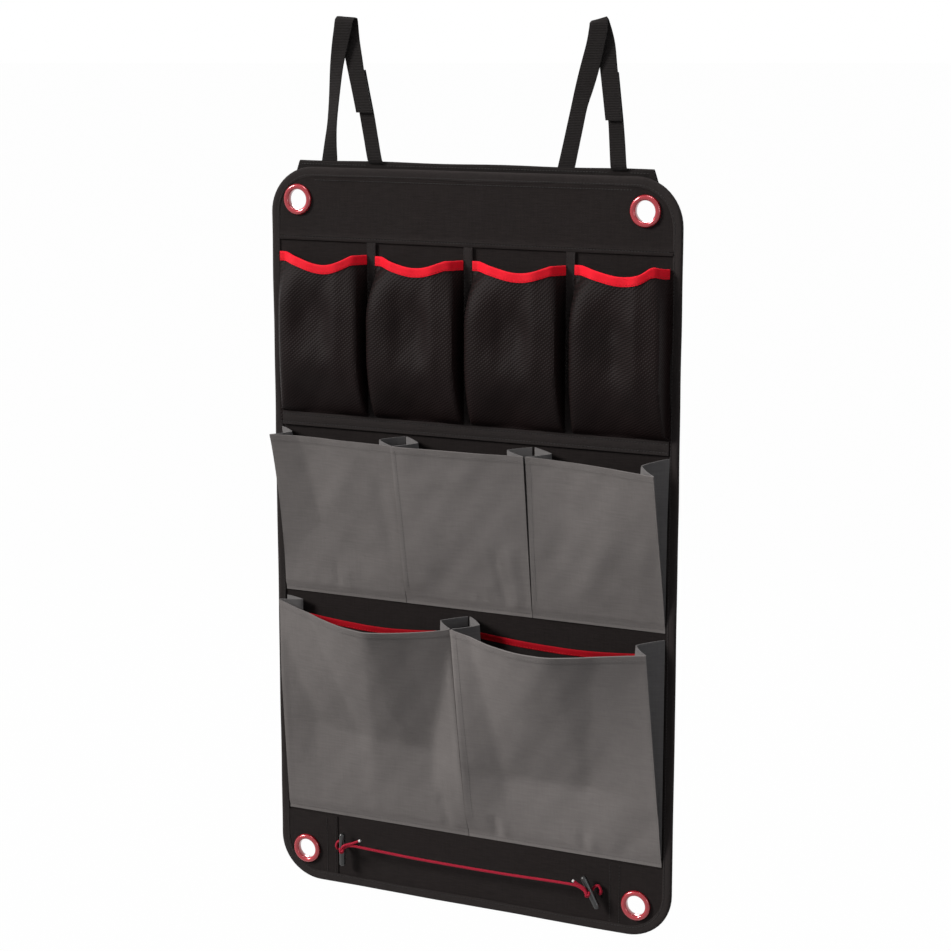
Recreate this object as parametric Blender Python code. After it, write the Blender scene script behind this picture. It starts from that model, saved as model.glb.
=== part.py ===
# Hanging pocket organizer: a fabric back panel on two webbing loops, with four mesh
# pockets, three small and two large bellows pockets, eyelets and an elastic cord.
# Metres, +Z up, the front faces -Y. The origin is midway between the two webbing loops,
# where the rail that they hang on runs.

import bpy
import bmesh
import math
from mathutils import Matrix, Vector
from mathutils.geometry import tessellate_polygon

# Clearances between sewn layers
GAP = 0.0003

# Back panel
PANEL_W = 0.464
PANEL_H = 0.790
PANEL_T = 0.0016
PANEL_TOP_Z = -0.152
PANEL_BOTTOM_Z = PANEL_TOP_Z - PANEL_H
CORNER_R = 0.048
BINDING_W = 0.009
TAPE_T = 0.0007


def down(share):
    """A height on the panel: this share of the panel's height under its top edge."""
    return PANEL_TOP_Z - PANEL_H * share


# Sleeve behind the top edge, with its batten
SLEEVE_TOP_Z = -0.144
SLEEVE_H = 0.0235
SLEEVE_TOP_W = 0.400
SLEEVE_FLARE = 0.008
BATTEN_H = 0.012
BATTEN_T = 0.0015
BATTEN_L = 0.380

# Webbing loops
STRAP_X = 0.1365
STRAP_SPREAD = 0.0585
STRAP_LEAN = 0.005
STRAP_W = 0.018
STRAP_T = 0.0015
RAIL_R = 0.003
TAB_W = 0.0165
TAB_TOP_Z = -0.050
STRAP_END_Z = -0.0935
HOOK_T = 0.0008
HOOK_L = 0.034

# Eyelets
EYELET_R = 0.0164
EYELET_BORE_R = 0.0106
EYELET_WALL = 0.0009
EYELET_RISE = 0.0030
EYELET_LIP_R = 0.0138
EYELET_LIP_T = 0.0008
EYELET_EDGE_LEFT = 0.0005
EYELET_EDGE_RIGHT = 0.0045
EYELET_ANGLE_LEFT = math.radians(41)
EYELET_ANGLE_RIGHT = math.radians(57)
WASHER_T = 0.0008

# Header and lower corner patches
HEADER_H = 0.076
CORNER_PATCH_W = 0.070
CORNER_PATCH_H = 0.076

# Mesh pockets
MESH_COUNT = 4
MESH_TOP_Z = down(0.11456)
MESH_BOTTOM_Z = down(0.33101)
MESH_T = 0.0012
MESH_BULGE = 0.026
MESH_SAG = 0.0085
MESH_TAB_LEFT = 0.006
MESH_TAB_RIGHT = 0.011
DIVIDER_W = 0.010
HEM_TAPE_H = 0.0145
TRIM_H = 0.0095
TRIM_T = 0.0006

# Bellows pockets
FABRIC_T = 0.0008
LINING_T = 0.0007
ROW_W = PANEL_W - 0.020
HEM_H = 0.004
HEM_GAP = 0.0005
SEAM_RISE = 0.009
GUSSET_LAYERS = 2
SMALL_TOPS_Z = (down(0.35949), down(0.35949), down(0.36013), down(0.36329))
SMALL_BACK_TOP_Z = down(0.35316)
SMALL_BOTTOM_Z = down(0.58228)
SMALL_DEPTHS = (0.023, 0.032, 0.022, 0.041)
SMALL_GUSSETS_W = (0.023, 0.028, 0.028, 0.031)
LARGE_TOPS_Z = (down(0.59241), down(0.59494), down(0.59494))
LARGE_BACK_TOP_Z = down(0.59114)
LARGE_BOTTOM_Z = down(0.9)
LARGE_DEPTHS = (0.021, 0.043, 0.052)
LARGE_GUSSETS_W = (0.026, 0.031, 0.034)
LARGE_SAG = 0.0100
LARGE_MOUTHS_OUT = (0.030, 0.024)
LARGE_LOWERS_OUT = (0.008, 0.003)
LARGE_CREASES_S = (0.31, 0.26)

# Inner pockets behind the large ones
INNER_TOP_Z = down(0.61266)
INNER_BOTTOM_Z = down(0.87089)
INNER_BULGE = 0.007
INNER_TAPER = 0.029
INNER_INSET = 0.006

# Elastic cord, toggles and knots
CORD_D = 0.003
TOGGLE_L = 0.038
TOGGLE_D = 0.0058
TOGGLE_Y = -0.0094
TOGGLE_Z = PANEL_BOTTOM_Z + 0.042
TOGGLE_LEFT_X = 0.0803 - PANEL_W / 2
TOGGLE_RIGHT_X = PANEL_W / 2 - 0.0865
TOGGLE_RIGHT_TILT = math.radians(27.7)
CORD_HOLE_OFFSET = 0.0080
CORD_HOLE_DROP = 0.003
KNOT_R = 0.0034
CORD_MAIN_Z = TOGGLE_Z + 0.007
TAIL_LEFT_OUT = 0.0235
TAIL_LEFT_UP = 0.0150
TAIL_RIGHT_OUT = 0.0150
TAIL_RIGHT_UP = 0.0122

# Derived places
FRONT_LAYER_Y = -GAP - TAPE_T
HINGE_R = (BATTEN_T + 2 * GAP + 2 * LINING_T) / 2
SLEEVE_Y = PANEL_T + 2 * GAP + TAPE_T + HINGE_R
HINGE_Z = SLEEVE_TOP_Z - HINGE_R
EYELET_BARREL_R = EYELET_BORE_R + EYELET_WALL
EYELET_HOLE_R = EYELET_BARREL_R + GAP
CORD_HOLE_R = CORD_D / 2 + GAP


def clear_scene():
    for ob in list(bpy.data.objects):
        bpy.data.objects.remove(ob, do_unlink=True)


def make_material(name, colour, roughness, metallic=0.0):
    mat = bpy.data.materials.new(name)
    mat.use_nodes = True
    shader = mat.node_tree.nodes["Principled BSDF"]
    shader.inputs["Base Color"].default_value = (*colour, 1.0)
    shader.inputs["Roughness"].default_value = roughness
    shader.inputs["Metallic"].default_value = metallic
    return mat


def make_materials():
    return {
        "black_fabric": make_material("black_fabric", (0.023, 0.019, 0.018), 0.85),
        "black_tape": make_material("black_tape", (0.030, 0.026, 0.025), 0.80),
        "webbing": make_material("webbing", (0.028, 0.024, 0.023), 0.80),
        "hook_and_loop": make_material("hook_and_loop", (0.012, 0.010, 0.010), 0.95),
        "mesh": make_material("mesh", (0.014, 0.013, 0.013), 0.90),
        "grey_fabric": make_material("grey_fabric", (0.130, 0.121, 0.117), 0.75),
        "red_tape": make_material("red_tape", (0.730, 0.015, 0.018), 0.60),
        "red_metal": make_material("red_metal", (0.450, 0.010, 0.030), 0.25, 0.6),
        "steel": make_material("steel", (0.550, 0.550, 0.560), 0.35, 1.0),
        "plastic": make_material("plastic", (0.020, 0.020, 0.020), 0.45),
        "elastic": make_material("elastic", (0.400, 0.012, 0.040), 0.60),
        "batten_plastic": make_material("batten_plastic", (0.600, 0.600, 0.580), 0.50),
    }


def add_object(name, verts, faces, material, origin=(0, 0, 0), parent=None, smooth=0.0):
    """A mesh object whose points are given in the world, with its origin put at a joint."""
    bm = bmesh.new()
    made = [bm.verts.new(Vector(v) - Vector(origin)) for v in verts]
    for face in faces:
        bm.faces.new([made[i] for i in face])
    bmesh.ops.recalc_face_normals(bm, faces=bm.faces)
    mesh = bpy.data.meshes.new(name)
    bm.to_mesh(mesh)
    bm.free()
    if smooth:
        mesh.shade_smooth()
        mesh.set_sharp_from_angle(angle=math.radians(smooth))
    mesh.materials.append(material)
    ob = bpy.data.objects.new(name, mesh)
    bpy.context.scene.collection.objects.link(ob)
    ob.location = Vector(origin)
    if parent is not None:
        ob.parent = parent
        ob.matrix_parent_inverse = Matrix.Translation(-parent.location)
    return ob


def add_empty(name, location, parent=None):
    ob = bpy.data.objects.new(name, None)
    bpy.context.scene.collection.objects.link(ob)
    ob.location = Vector(location)
    if parent is not None:
        ob.parent = parent
        ob.matrix_parent_inverse = Matrix.Translation(-parent.location)
    return ob


def sheet_shape(grid, thickness):
    """A closed sheet of even thickness about a grid of centre points, columns along X."""
    columns, rows = len(grid), len(grid[0])
    front, back = [], []
    for i in range(columns):
        for j in range(rows):
            along = grid[min(i + 1, columns - 1)][j] - grid[max(i - 1, 0)][j]
            up = grid[i][min(j + 1, rows - 1)] - grid[i][max(j - 1, 0)]
            normal = along.cross(up).normalized()
            front.append(grid[i][j] + normal * thickness / 2)
            back.append(grid[i][j] - normal * thickness / 2)
    size = columns * rows

    def at(i, j, side=0):
        return i * rows + j + side * size

    faces = []
    for i in range(columns - 1):
        for j in range(rows - 1):
            faces.append([at(i, j), at(i + 1, j), at(i + 1, j + 1), at(i, j + 1)])
            faces.append([at(i, j, 1), at(i, j + 1, 1), at(i + 1, j + 1, 1), at(i + 1, j, 1)])
    for i in range(columns - 1):
        top = rows - 1
        faces.append([at(i, 0), at(i, 0, 1), at(i + 1, 0, 1), at(i + 1, 0)])
        faces.append([at(i, top), at(i + 1, top), at(i + 1, top, 1), at(i, top, 1)])
    for j in range(rows - 1):
        end = columns - 1
        faces.append([at(0, j), at(0, j + 1), at(0, j + 1, 1), at(0, j, 1)])
        faces.append([at(end, j), at(end, j, 1), at(end, j + 1, 1), at(end, j + 1)])
    return front + back, faces


def plate_shape(outline, holes, y_front, y_back):
    """A flat piece in the XZ plane, with holes, between two Y planes."""
    loops = [outline] + holes
    flat = [Vector((x, z, 0)) for loop in loops for x, z in loop]
    triangles = tessellate_polygon([[Vector((x, z, 0)) for x, z in loop] for loop in loops])
    size = len(flat)
    verts = [Vector((p.x, y_front, p.y)) for p in flat] + [Vector((p.x, y_back, p.y)) for p in flat]
    faces = []
    for a, b, c in triangles:
        faces.append([a, b, c])
        faces.append([c + size, b + size, a + size])
    start = 0
    for loop in loops:
        count = len(loop)
        for k in range(count):
            a, b = start + k, start + (k + 1) % count
            faces.append([a, b, b + size, a + size])
        start += count
    return verts, faces


def channel_shape(path, ups, sides, half_gap, wall, depth, closed=False):
    """A tape folded over an edge: a U swept along the edge, its legs down from it."""
    outer, top = half_gap + wall, GAP + wall
    profile = [
        (-outer, -depth), (-outer, top), (outer, top), (outer, -depth),
        (half_gap, -depth), (half_gap, GAP), (-half_gap, GAP), (-half_gap, -depth),
    ]
    verts = [p + side * s + up * u for p, up, side in zip(path, ups, sides) for s, u in profile]
    count, ring = len(path), len(profile)
    faces = []
    for i in range(count if closed else count - 1):
        a, b = i * ring, (i + 1) % count * ring
        for k in range(ring):
            n = (k + 1) % ring
            faces.append([a + k, a + n, b + n, b + k])
    if not closed:
        for start in (0, (count - 1) * ring):
            for quad in ((0, 1, 6, 7), (1, 2, 5, 6), (2, 3, 4, 5)):
                faces.append([start + k for k in quad])
    return verts, faces


def trim_shape(edge, cloth_t, depth):
    """A tape folded over an upright edge that bends in plan."""
    ups, sides = [], []
    for k in range(len(edge)):
        along = edge[min(k + 1, len(edge) - 1)] - edge[max(k - 1, 0)]
        ups.append(Vector((0, 0, 1)))
        sides.append(Vector((along.x, along.y, 0)).normalized().cross(Vector((0, 0, 1))))
    return channel_shape(edge, ups, sides, cloth_t / 2 + GAP, TRIM_T, depth)


def lip_shares(rows, height):
    """Each row's share of a pocket's height; its last stretch, under the trim, is upright."""
    lip = 1 - (TRIM_H + 0.0015) / height
    return [(lip * k / (rows - 2), lip * k / (rows - 2)) for k in range(rows - 1)] + [(1.0, lip)]


def turned_shape(profile, segments, centre):
    """A profile of (radius, y) turned about the Y axis through a centre; it closes on itself."""
    verts = []
    for k in range(segments):
        angle = 2 * math.pi * k / segments
        for radius, y in profile:
            verts.append(Vector((centre[0] + radius * math.cos(angle), y, centre[1] + radius * math.sin(angle))))
    ring = len(profile)
    faces = []
    for k in range(segments):
        a, b = k * ring, (k + 1) % segments * ring
        for i in range(ring):
            n = (i + 1) % ring
            faces.append([a + i, a + n, b + n, b + i])
    return verts, faces


def ribbon_shape(path, across, thickness):
    """A flat strap along a path in a slanted YZ run; across is half its width vector."""
    grid = [[p - across for p in path], [p + across for p in path]]
    return sheet_shape(grid, thickness)


def add_boolean(ob, other, operation):
    other.hide_render = True
    other.display_type = "WIRE"
    boolean = ob.modifiers.new(other.name, "BOOLEAN")
    boolean.operation = operation
    boolean.solver = "EXACT"
    boolean.object = other


def circle(centre, radius, segments):
    return [
        (centre[0] + radius * math.cos(2 * math.pi * k / segments),
         centre[1] + radius * math.sin(2 * math.pi * k / segments))
        for k in range(segments)
    ]


def arc(centre, radius, start, end, steps):
    points = []
    for k in range(steps + 1):
        angle = math.radians(start + (end - start) * k / steps)
        points.append((centre[0] + radius * math.cos(angle), centre[1] + radius * math.sin(angle)))
    return points


def rounded_outline(inset, steps=7):
    """The panel's outline drawn in by an inset, anticlockwise as seen from the front."""
    half = PANEL_W / 2 - CORNER_R
    low, high = PANEL_BOTTOM_Z + CORNER_R, PANEL_TOP_Z - CORNER_R
    radius = CORNER_R - inset
    points = arc((half, low), radius, -90, 0, steps)
    points += arc((half, high), radius, 0, 90, steps)
    points += arc((-half, high), radius, 90, 180, steps)
    points += arc((-half, low), radius, 180, 270, steps)
    return points


def eyelet_centres():
    """Each eyelet lies inside its rounded corner, a set distance from the binding."""
    centres = {}
    for side, sign in (("left", -1), ("right", 1)):
        edge = EYELET_EDGE_LEFT if sign < 0 else EYELET_EDGE_RIGHT
        angle = EYELET_ANGLE_LEFT if sign < 0 else EYELET_ANGLE_RIGHT
        reach = CORNER_R - BINDING_W - EYELET_R - edge
        x = sign * (PANEL_W / 2 - CORNER_R + reach * math.cos(angle))
        rise = reach * math.sin(angle)
        centres["top_" + side] = (x, PANEL_TOP_Z - CORNER_R + rise)
        centres["bottom_" + side] = (x, PANEL_BOTTOM_Z + CORNER_R - rise)
    return centres


def cord_holes():
    z = TOGGLE_Z - CORD_HOLE_DROP
    return [(TOGGLE_LEFT_X - CORD_HOLE_OFFSET, z), (TOGGLE_RIGHT_X + CORD_HOLE_OFFSET, z)]


def build_back(mats, body):
    eyelets = eyelet_centres()
    holes = [circle(c, EYELET_HOLE_R, 20) for c in eyelets.values()]
    holes += [circle(c, CORD_HOLE_R, 10) for c in cord_holes()]
    add_object("back_panel", *plate_shape(rounded_outline(0), holes, 0.0, PANEL_T), mats["black_fabric"], parent=body)

    outline = rounded_outline(0)
    path, ups, sides = [], [], []
    count = len(outline)
    for k, (x, z) in enumerate(outline):
        before, after = outline[k - 1], outline[(k + 1) % count]
        along = Vector((after[0] - before[0], 0, after[1] - before[1])).normalized()
        path.append(Vector((x, PANEL_T / 2, z)))
        ups.append(Vector((along.z, 0, -along.x)))
        sides.append(Vector((0, -1, 0)))
    channel = channel_shape(path, ups, sides, PANEL_T / 2 + GAP, TAPE_T, BINDING_W, closed=True)
    add_object("edge_binding", *channel, mats["black_tape"], parent=body)

    inner = BINDING_W + GAP
    half, radius = PANEL_W / 2 - CORNER_R, CORNER_R - inner
    side = PANEL_W / 2 - inner
    high, low = PANEL_TOP_Z - CORNER_R, PANEL_BOTTOM_Z + CORNER_R
    header_z = PANEL_TOP_Z - HEADER_H
    header = [(-side, header_z), (side, header_z)]
    header += arc((half, high), radius, 0, 90, 6) + arc((-half, high), radius, 90, 180, 6)
    holes = [circle(eyelets[name], EYELET_HOLE_R, 20) for name in ("top_left", "top_right")]
    add_object("header_facing", *plate_shape(header, holes, FRONT_LAYER_Y, -GAP), mats["black_fabric"], parent=body)

    patch_top = PANEL_BOTTOM_Z + CORNER_PATCH_H
    bottom = PANEL_BOTTOM_Z + inner
    inner_x = PANEL_W / 2 - CORNER_PATCH_W
    for sign, name in ((-1, "left"), (1, "right")):
        turn = arc((-half, low), radius, 180, 270, 6)
        patch = turn + [(-inner_x, bottom), (-inner_x, patch_top), (-side, patch_top)]
        if sign > 0:
            patch = [(-x, z) for x, z in reversed(patch)]
        hole = circle(eyelets["bottom_" + name], EYELET_HOLE_R, 20)
        shape = plate_shape(patch, [hole], FRONT_LAYER_Y, -GAP)
        add_object("corner_patch_" + name, *shape, mats["black_fabric"], parent=body)


def build_eyelets(mats, body):
    """Each eyelet has a rounded ring, a barrel through the layers and a lip rolled over its washer."""
    seat = FRONT_LAYER_Y - GAP
    washer_front = PANEL_T + GAP
    lip_front = washer_front + WASHER_T + GAP
    lip_back = lip_front + EYELET_LIP_T
    middle, half = (EYELET_R + EYELET_BORE_R) / 2, (EYELET_R - EYELET_BORE_R) / 2
    crown = [
        (middle + half * math.cos(math.radians(a)), seat - EYELET_RISE * math.sin(math.radians(a)))
        for a in range(0, 181, 30)
    ]
    profile = crown + [
        (EYELET_BORE_R, lip_back), (EYELET_LIP_R, lip_back), (EYELET_LIP_R, lip_front),
        (EYELET_BARREL_R, lip_front), (EYELET_BARREL_R, seat),
    ]
    ring = [
        (EYELET_HOLE_R, washer_front), (EYELET_R, washer_front),
        (EYELET_R, washer_front + WASHER_T), (EYELET_HOLE_R, washer_front + WASHER_T),
    ]
    for name, centre in eyelet_centres().items():
        shape = turned_shape(profile, 20, centre)
        add_object("eyelet_" + name, *shape, mats["red_metal"], parent=body, smooth=40)
        shape = turned_shape(ring, 20, centre)
        add_object("eyelet_washer_" + name, *shape, mats["steel"], parent=body, smooth=40)


def build_sleeve(mats, body):
    """The folded sleeve behind the top edge; its fold turns about the line it hangs by."""
    inner_r = HINGE_R - LINING_T
    fold = 6
    bottom = SLEEVE_TOP_Z - SLEEVE_H
    rows = [(-1, bottom), (-1, HINGE_Z)]
    profile = [(SLEEVE_Y + side * (inner_r + LINING_T / 2), z) for side, z in rows]
    for k in range(1, fold):
        angle = math.pi * (1 - k / fold)
        reach = inner_r + LINING_T / 2
        profile.append((SLEEVE_Y + reach * math.cos(angle), HINGE_Z + reach * math.sin(angle)))
    profile += [(SLEEVE_Y + inner_r + LINING_T / 2, HINGE_Z), (SLEEVE_Y + inner_r + LINING_T / 2, bottom)]

    def half_width(z):
        share = min(1.0, (SLEEVE_TOP_Z - z) / SLEEVE_H)
        return SLEEVE_TOP_W / 2 + SLEEVE_FLARE * share

    grid = [[Vector((sign * half_width(z), y, z)) for y, z in profile] for sign in (-1, 1)]
    add_object("hanging_sleeve", *sheet_shape(grid, LINING_T), mats["black_fabric"], parent=body, smooth=50)

    y0, y1 = SLEEVE_Y - BATTEN_T / 2, SLEEVE_Y + BATTEN_T / 2
    low = bottom + 2 * GAP
    rise = BATTEN_H / 4
    left = arc((-BATTEN_L / 2 + rise, low + rise), rise, 180, 270, 3)
    right = arc((BATTEN_L / 2 - rise, low + rise), rise, 270, 360, 3)
    upper = arc((BATTEN_L / 2 - rise, low + BATTEN_H - rise), rise, 0, 90, 3)
    upper += arc((-BATTEN_L / 2 + rise, low + BATTEN_H - rise), rise, 90, 180, 3)
    add_object("sleeve_batten", *plate_shape(left + right + upper, [], y0, y1), mats["batten_plastic"], parent=body)


def strap_places(side):
    """The base of the front leg, the base of the rear leg and the apex, in X."""
    centre = side * STRAP_X
    return centre - STRAP_SPREAD / 2, centre + STRAP_SPREAD / 2, centre + side * STRAP_LEAN


def strap_lines():
    """How far the rear leg and the tab behind it lean back, for each metre of height."""
    base_z = SLEEVE_TOP_Z + GAP
    fold_y, fold_z = RAIL_R + STRAP_T / 2, -RAIL_R
    layer = STRAP_T + 2 * HOOK_T + 3 * GAP
    slope = (layer + fold_y) / (fold_z - base_z)
    return base_z, fold_y, fold_z, layer, slope


def build_straps(mats):
    """Each loop: a front leg, a fold over the rail, a rear leg; its end grips a short tab."""
    base_z, fold_y, fold_z, layer, slope = strap_lines()
    straps, tabs = [], []
    for side, name in ((-1, "left"), (1, "right")):
        front_x, rear_x, apex_x = strap_places(side)
        across = Vector((STRAP_W / 2, 0, 0))
        path = []
        for k in range(5):
            share = k / 4
            path.append(Vector((front_x + (apex_x - front_x) * share,
                                SLEEVE_Y - (fold_y + SLEEVE_Y) * share,
                                base_z + (fold_z - base_z) * share)))
        for k in range(1, 7):
            angle = math.pi * k / 7
            path.append(Vector((apex_x, -fold_y * math.cos(angle), fold_z + fold_y * math.sin(angle))))
        for k in range(5):
            share = k / 4
            z = fold_z + (STRAP_END_Z - fold_z) * share
            drift = (fold_z - z) / (fold_z - base_z)
            path.append(Vector((apex_x + (rear_x - apex_x) * drift, fold_y - (fold_z - z) * slope, z)))
        strap = add_object("strap_" + name, *ribbon_shape(path, across, STRAP_T), mats["webbing"], smooth=50)
        straps.append(strap)

        def rear_point(z, offset):
            drift = (fold_z - z) / (fold_z - base_z)
            return Vector((apex_x + (rear_x - apex_x) * drift, fold_y - (fold_z - z) * slope + offset, z))

        low = STRAP_END_Z + 0.003
        offset = STRAP_T / 2 + GAP + HOOK_T / 2
        patch = [rear_point(low + HOOK_L * k / 3, offset) for k in range(4)]
        reach = Vector((TAB_W / 2 - 0.0005, 0, 0))
        add_object("strap_hook_" + name, *ribbon_shape(patch, reach, HOOK_T), mats["hook_and_loop"])

        origin = (rear_x, SLEEVE_Y, HINGE_Z)
        offset = layer - STRAP_T / 2 - GAP - HOOK_T / 2
        patch = [rear_point(low + HOOK_L * k / 3, offset) for k in range(4)]
        shape = ribbon_shape(patch, reach, HOOK_T)
        tabs.append(add_object("tab_loop_" + name, *shape, mats["hook_and_loop"], origin=origin))
        width = Vector((TAB_W / 2, 0, 0))
        path = [rear_point(base_z, layer)]
        path[0].y = SLEEVE_Y
        path += [rear_point(STRAP_END_Z - 0.012, layer)]
        path += [rear_point(STRAP_END_Z + (TAB_TOP_Z - STRAP_END_Z) * k / 3, layer) for k in range(4)]
        tabs.append(add_object("tab_" + name, *ribbon_shape(path, width, STRAP_T), mats["webbing"], origin=origin))
    return straps, tabs


def mesh_pocket_edges():
    """The two edges in X of each mesh pocket's swelling part, and the dividers between them."""
    side = PANEL_W / 2 - BINDING_W - GAP
    pitch = (PANEL_W - 2 * BINDING_W + DIVIDER_W) / MESH_COUNT
    dividers = [(k - MESH_COUNT / 2) * pitch for k in range(1, MESH_COUNT)]
    lines = [-side - DIVIDER_W / 2] + dividers + [side + DIVIDER_W / 2]
    return lines, dividers


def build_mesh_pockets(mats, body):
    lines, dividers = mesh_pocket_edges()
    columns, rows = 11, 9
    flange_y = -GAP - MESH_T / 2
    stand = MESH_T / 2 + 2 * GAP + TRIM_T + GAP
    for number in range(MESH_COUNT):
        outer_a = lines[number] + (DIVIDER_W / 2 if number == 0 else GAP)
        outer_b = lines[number + 1] - (DIVIDER_W / 2 if number == MESH_COUNT - 1 else GAP)
        start = lines[number] + DIVIDER_W / 2 + 0.002
        end = lines[number + 1] - DIVIDER_W / 2 - 0.002
        first, last = start + MESH_TAB_LEFT, end - MESH_TAB_RIGHT

        def plan(x):
            share = min(1.0, max(0.0, (x - first) / (last - first)))
            return math.sin(math.pi * share)

        def column(x, lifted):
            points = [Vector((x, flange_y, MESH_BOTTOM_Z - HEM_TAPE_H + 0.004))]
            low = MESH_BOTTOM_Z + 0.001
            top = MESH_TOP_Z - GAP - TRIM_T - MESH_SAG * plan(x)
            for height, s in lip_shares(rows, top - low):
                rise = math.sin(min(1.0, s / 0.30) * math.pi / 2) * (1 - 0.16 * s * s)
                lift = stand - MESH_T / 2 if s > 0 else 0.0
                y = flange_y - lifted * (lift + MESH_BULGE * plan(x) ** 0.6 * rise)
                points.append(Vector((x, y, low + (top - low) * height)))
            return points

        grid = [column(outer_a, 0), column(start - 0.0012, 0), column(start, 1)]
        for k in range(columns):
            share = (1 - math.cos(math.pi * k / (columns - 1))) / 2
            grid.append(column(first + (last - first) * share, 1))
        grid += [column(end, 1), column(end + 0.0012, 0), column(outer_b, 0)]
        shape = sheet_shape(grid, MESH_T)
        add_object(f"mesh_pocket_{number + 1}", *shape, mats["mesh"], parent=body, smooth=60)

        edge = [column_points[-1] for column_points in grid[2:-2]]
        channel = trim_shape(edge, MESH_T, TRIM_H)
        add_object(f"mesh_trim_{number + 1}", *channel, mats["red_tape"], parent=body, smooth=50)

    seat = -2 * GAP - MESH_T
    top = PANEL_TOP_Z - HEADER_H - GAP
    for number, x in enumerate(dividers):
        box = [(x - DIVIDER_W / 2, MESH_BOTTOM_Z + GAP), (x + DIVIDER_W / 2, MESH_BOTTOM_Z + GAP)]
        box += [(x + DIVIDER_W / 2, top), (x - DIVIDER_W / 2, top)]
        shape = plate_shape(box, [], seat - TAPE_T, seat)
        add_object(f"divider_tape_{number + 1}", *shape, mats["black_tape"], parent=body)
    side = PANEL_W / 2 - BINDING_W - GAP
    low = MESH_BOTTOM_Z - HEM_TAPE_H
    box = [(-side, low), (side, low), (side, MESH_BOTTOM_Z), (-side, MESH_BOTTOM_Z)]
    add_object("mesh_hem_tape", *plate_shape(box, [], seat - TAPE_T, seat), mats["black_tape"], parent=body)


class Row:
    """A row of bellows pockets: its lines in X, its heights and how far each crease stands out."""

    def __init__(self, name, depths, gussets_w, tops, back_top, bottom, sag):
        self.name, self.count, self.depths = name, len(depths) - 1, depths
        self.gussets_w, self.tops, self.back_top = gussets_w, tops, back_top
        self.bottom, self.sag = bottom, sag
        self.seam = bottom + SEAM_RISE
        self.stand = GUSSET_LAYERS * (LINING_T + GAP) + GAP + FABRIC_T / 2

    def line(self, k):
        return -ROW_W / 2 + ROW_W * k / self.count

    def crease_y(self, k, s):
        """The front sheet's centre plane at crease k, at a share of the height over the seam."""
        return -self.stand - self.depths[k] * s


def small_folds(number, t, s):
    """The soft form of a small pocket's front, forwards in metres: a belly and a drawn mouth."""
    belly = 0.0050 * math.sin(math.pi * t) * math.sin(math.pi * s) ** 2
    valley = 0.21 + 0.17 * (1 - s)
    if number == 0:
        return belly - 0.0085 * s * min(1.0, t / valley) * min(1.0, (1 - t) / 0.14)
    if number == 1:
        return belly + 0.0045 * s * math.sin(math.pi * t)
    return belly - 0.0045 * s * math.sin(math.pi * t)


def large_folds(number, t, s):
    """The soft form of a large pocket's front: a lower part that is full at a level crease, and
    a slack mouth that stands out between its corners."""
    crease = LARGE_CREASES_S[number]
    below, above = min(1.0, s / crease), max(0.0, (s - crease) / (1 - crease))
    edge = math.sin(math.pi * t)
    centre = 0.68 if number == 0 else 0.58
    hollow = 0.0060 * math.exp(-((t - centre) / 0.20) ** 2 - ((s - 0.62) / 0.17) ** 2)
    mouth = LARGE_MOUTHS_OUT[number] * edge * above
    return mouth + LARGE_LOWERS_OUT[number] * edge * (below - above) - hollow * edge


def build_fronts(row, mats, folds, hinges):
    columns, rows = 11, 12
    for number in range(row.count):
        xa, xb = row.line(number) + GAP, row.line(number + 1) - GAP
        grid = []
        for i in range(columns):
            t = i / (columns - 1)
            x = xa + (xb - xa) * t
            peak = 0.45 if number == 0 else 0.42
            sag = row.sag * math.sin(math.pi * t ** (math.log(0.5) / math.log(peak)))
            top = row.tops[number] * (1 - t) + row.tops[number + 1] * t
            points = [Vector((x, -HEM_GAP - FABRIC_T / 2, row.bottom + h)) for h in (0.0, HEM_H)]
            for j in range(rows):
                s = j / (rows - 1)
                y = row.crease_y(number, s) * (1 - t) + row.crease_y(number + 1, s) * t
                y -= folds(number, t, s) * min(1.0, s * 4)
                points.append(Vector((x, y, row.seam + (top - row.seam) * s - sag * s ** 3)))
            grid.append(points)
        origin = hinges[number].location
        shape = sheet_shape(grid, FABRIC_T)
        name = f"{row.name}_pocket_front_{number + 1}"
        add_object(name, *shape, mats["grey_fabric"], origin=origin, parent=hinges[number], smooth=60)


def build_gussets(row, mats, body):
    """Each side wall is folded inwards along its middle, from the back seam to the front crease."""
    steps, turn = 7, 4
    fold_r = (LINING_T + GAP) / 2
    rear_y = -GAP - LINING_T / 2
    for number in range(row.count):
        for k, inward, side in ((number, 1, "left"), (number + 1, -1, "right")):
            edge = row.line(k) + inward * 2 * GAP
            grid = []
            for j in range(steps):
                s = j / (steps - 1)
                z_front = row.seam + 0.001 + (row.tops[k] - row.seam - 0.002) * s
                z_rear = row.seam + 0.001 + (row.back_top - row.seam - 0.001) * s
                share = (z_front - row.seam) / (row.tops[k] - row.seam)
                front_y = row.crease_y(k, share) + FABRIC_T / 2 + GAP + LINING_T / 2
                half = (rear_y - front_y) / 2
                inset = math.sqrt(row.gussets_w[k] ** 2 - half ** 2)
                lean = math.asin(half / row.gussets_w[k])
                middle_y = (rear_y + front_y) / 2
                points = [(edge, rear_y, 0.0)]
                for n in range(turn):
                    angle = (math.pi / 2 - lean) * (1 - 2 * n / (turn - 1))
                    points.append((edge + inward * (inset - fold_r + fold_r * math.cos(angle)),
                                   middle_y + fold_r * math.sin(angle), 0.5))
                points.append((edge, front_y, 1.0))
                grid.append([Vector((x, y, z_rear + (z_front - z_rear) * share)) for x, y, share in points])
            name = f"{row.name}_gusset_{number + 1}_{side}"
            add_object(name, *sheet_shape(grid, LINING_T), mats["grey_fabric"], parent=body, smooth=50)


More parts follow.
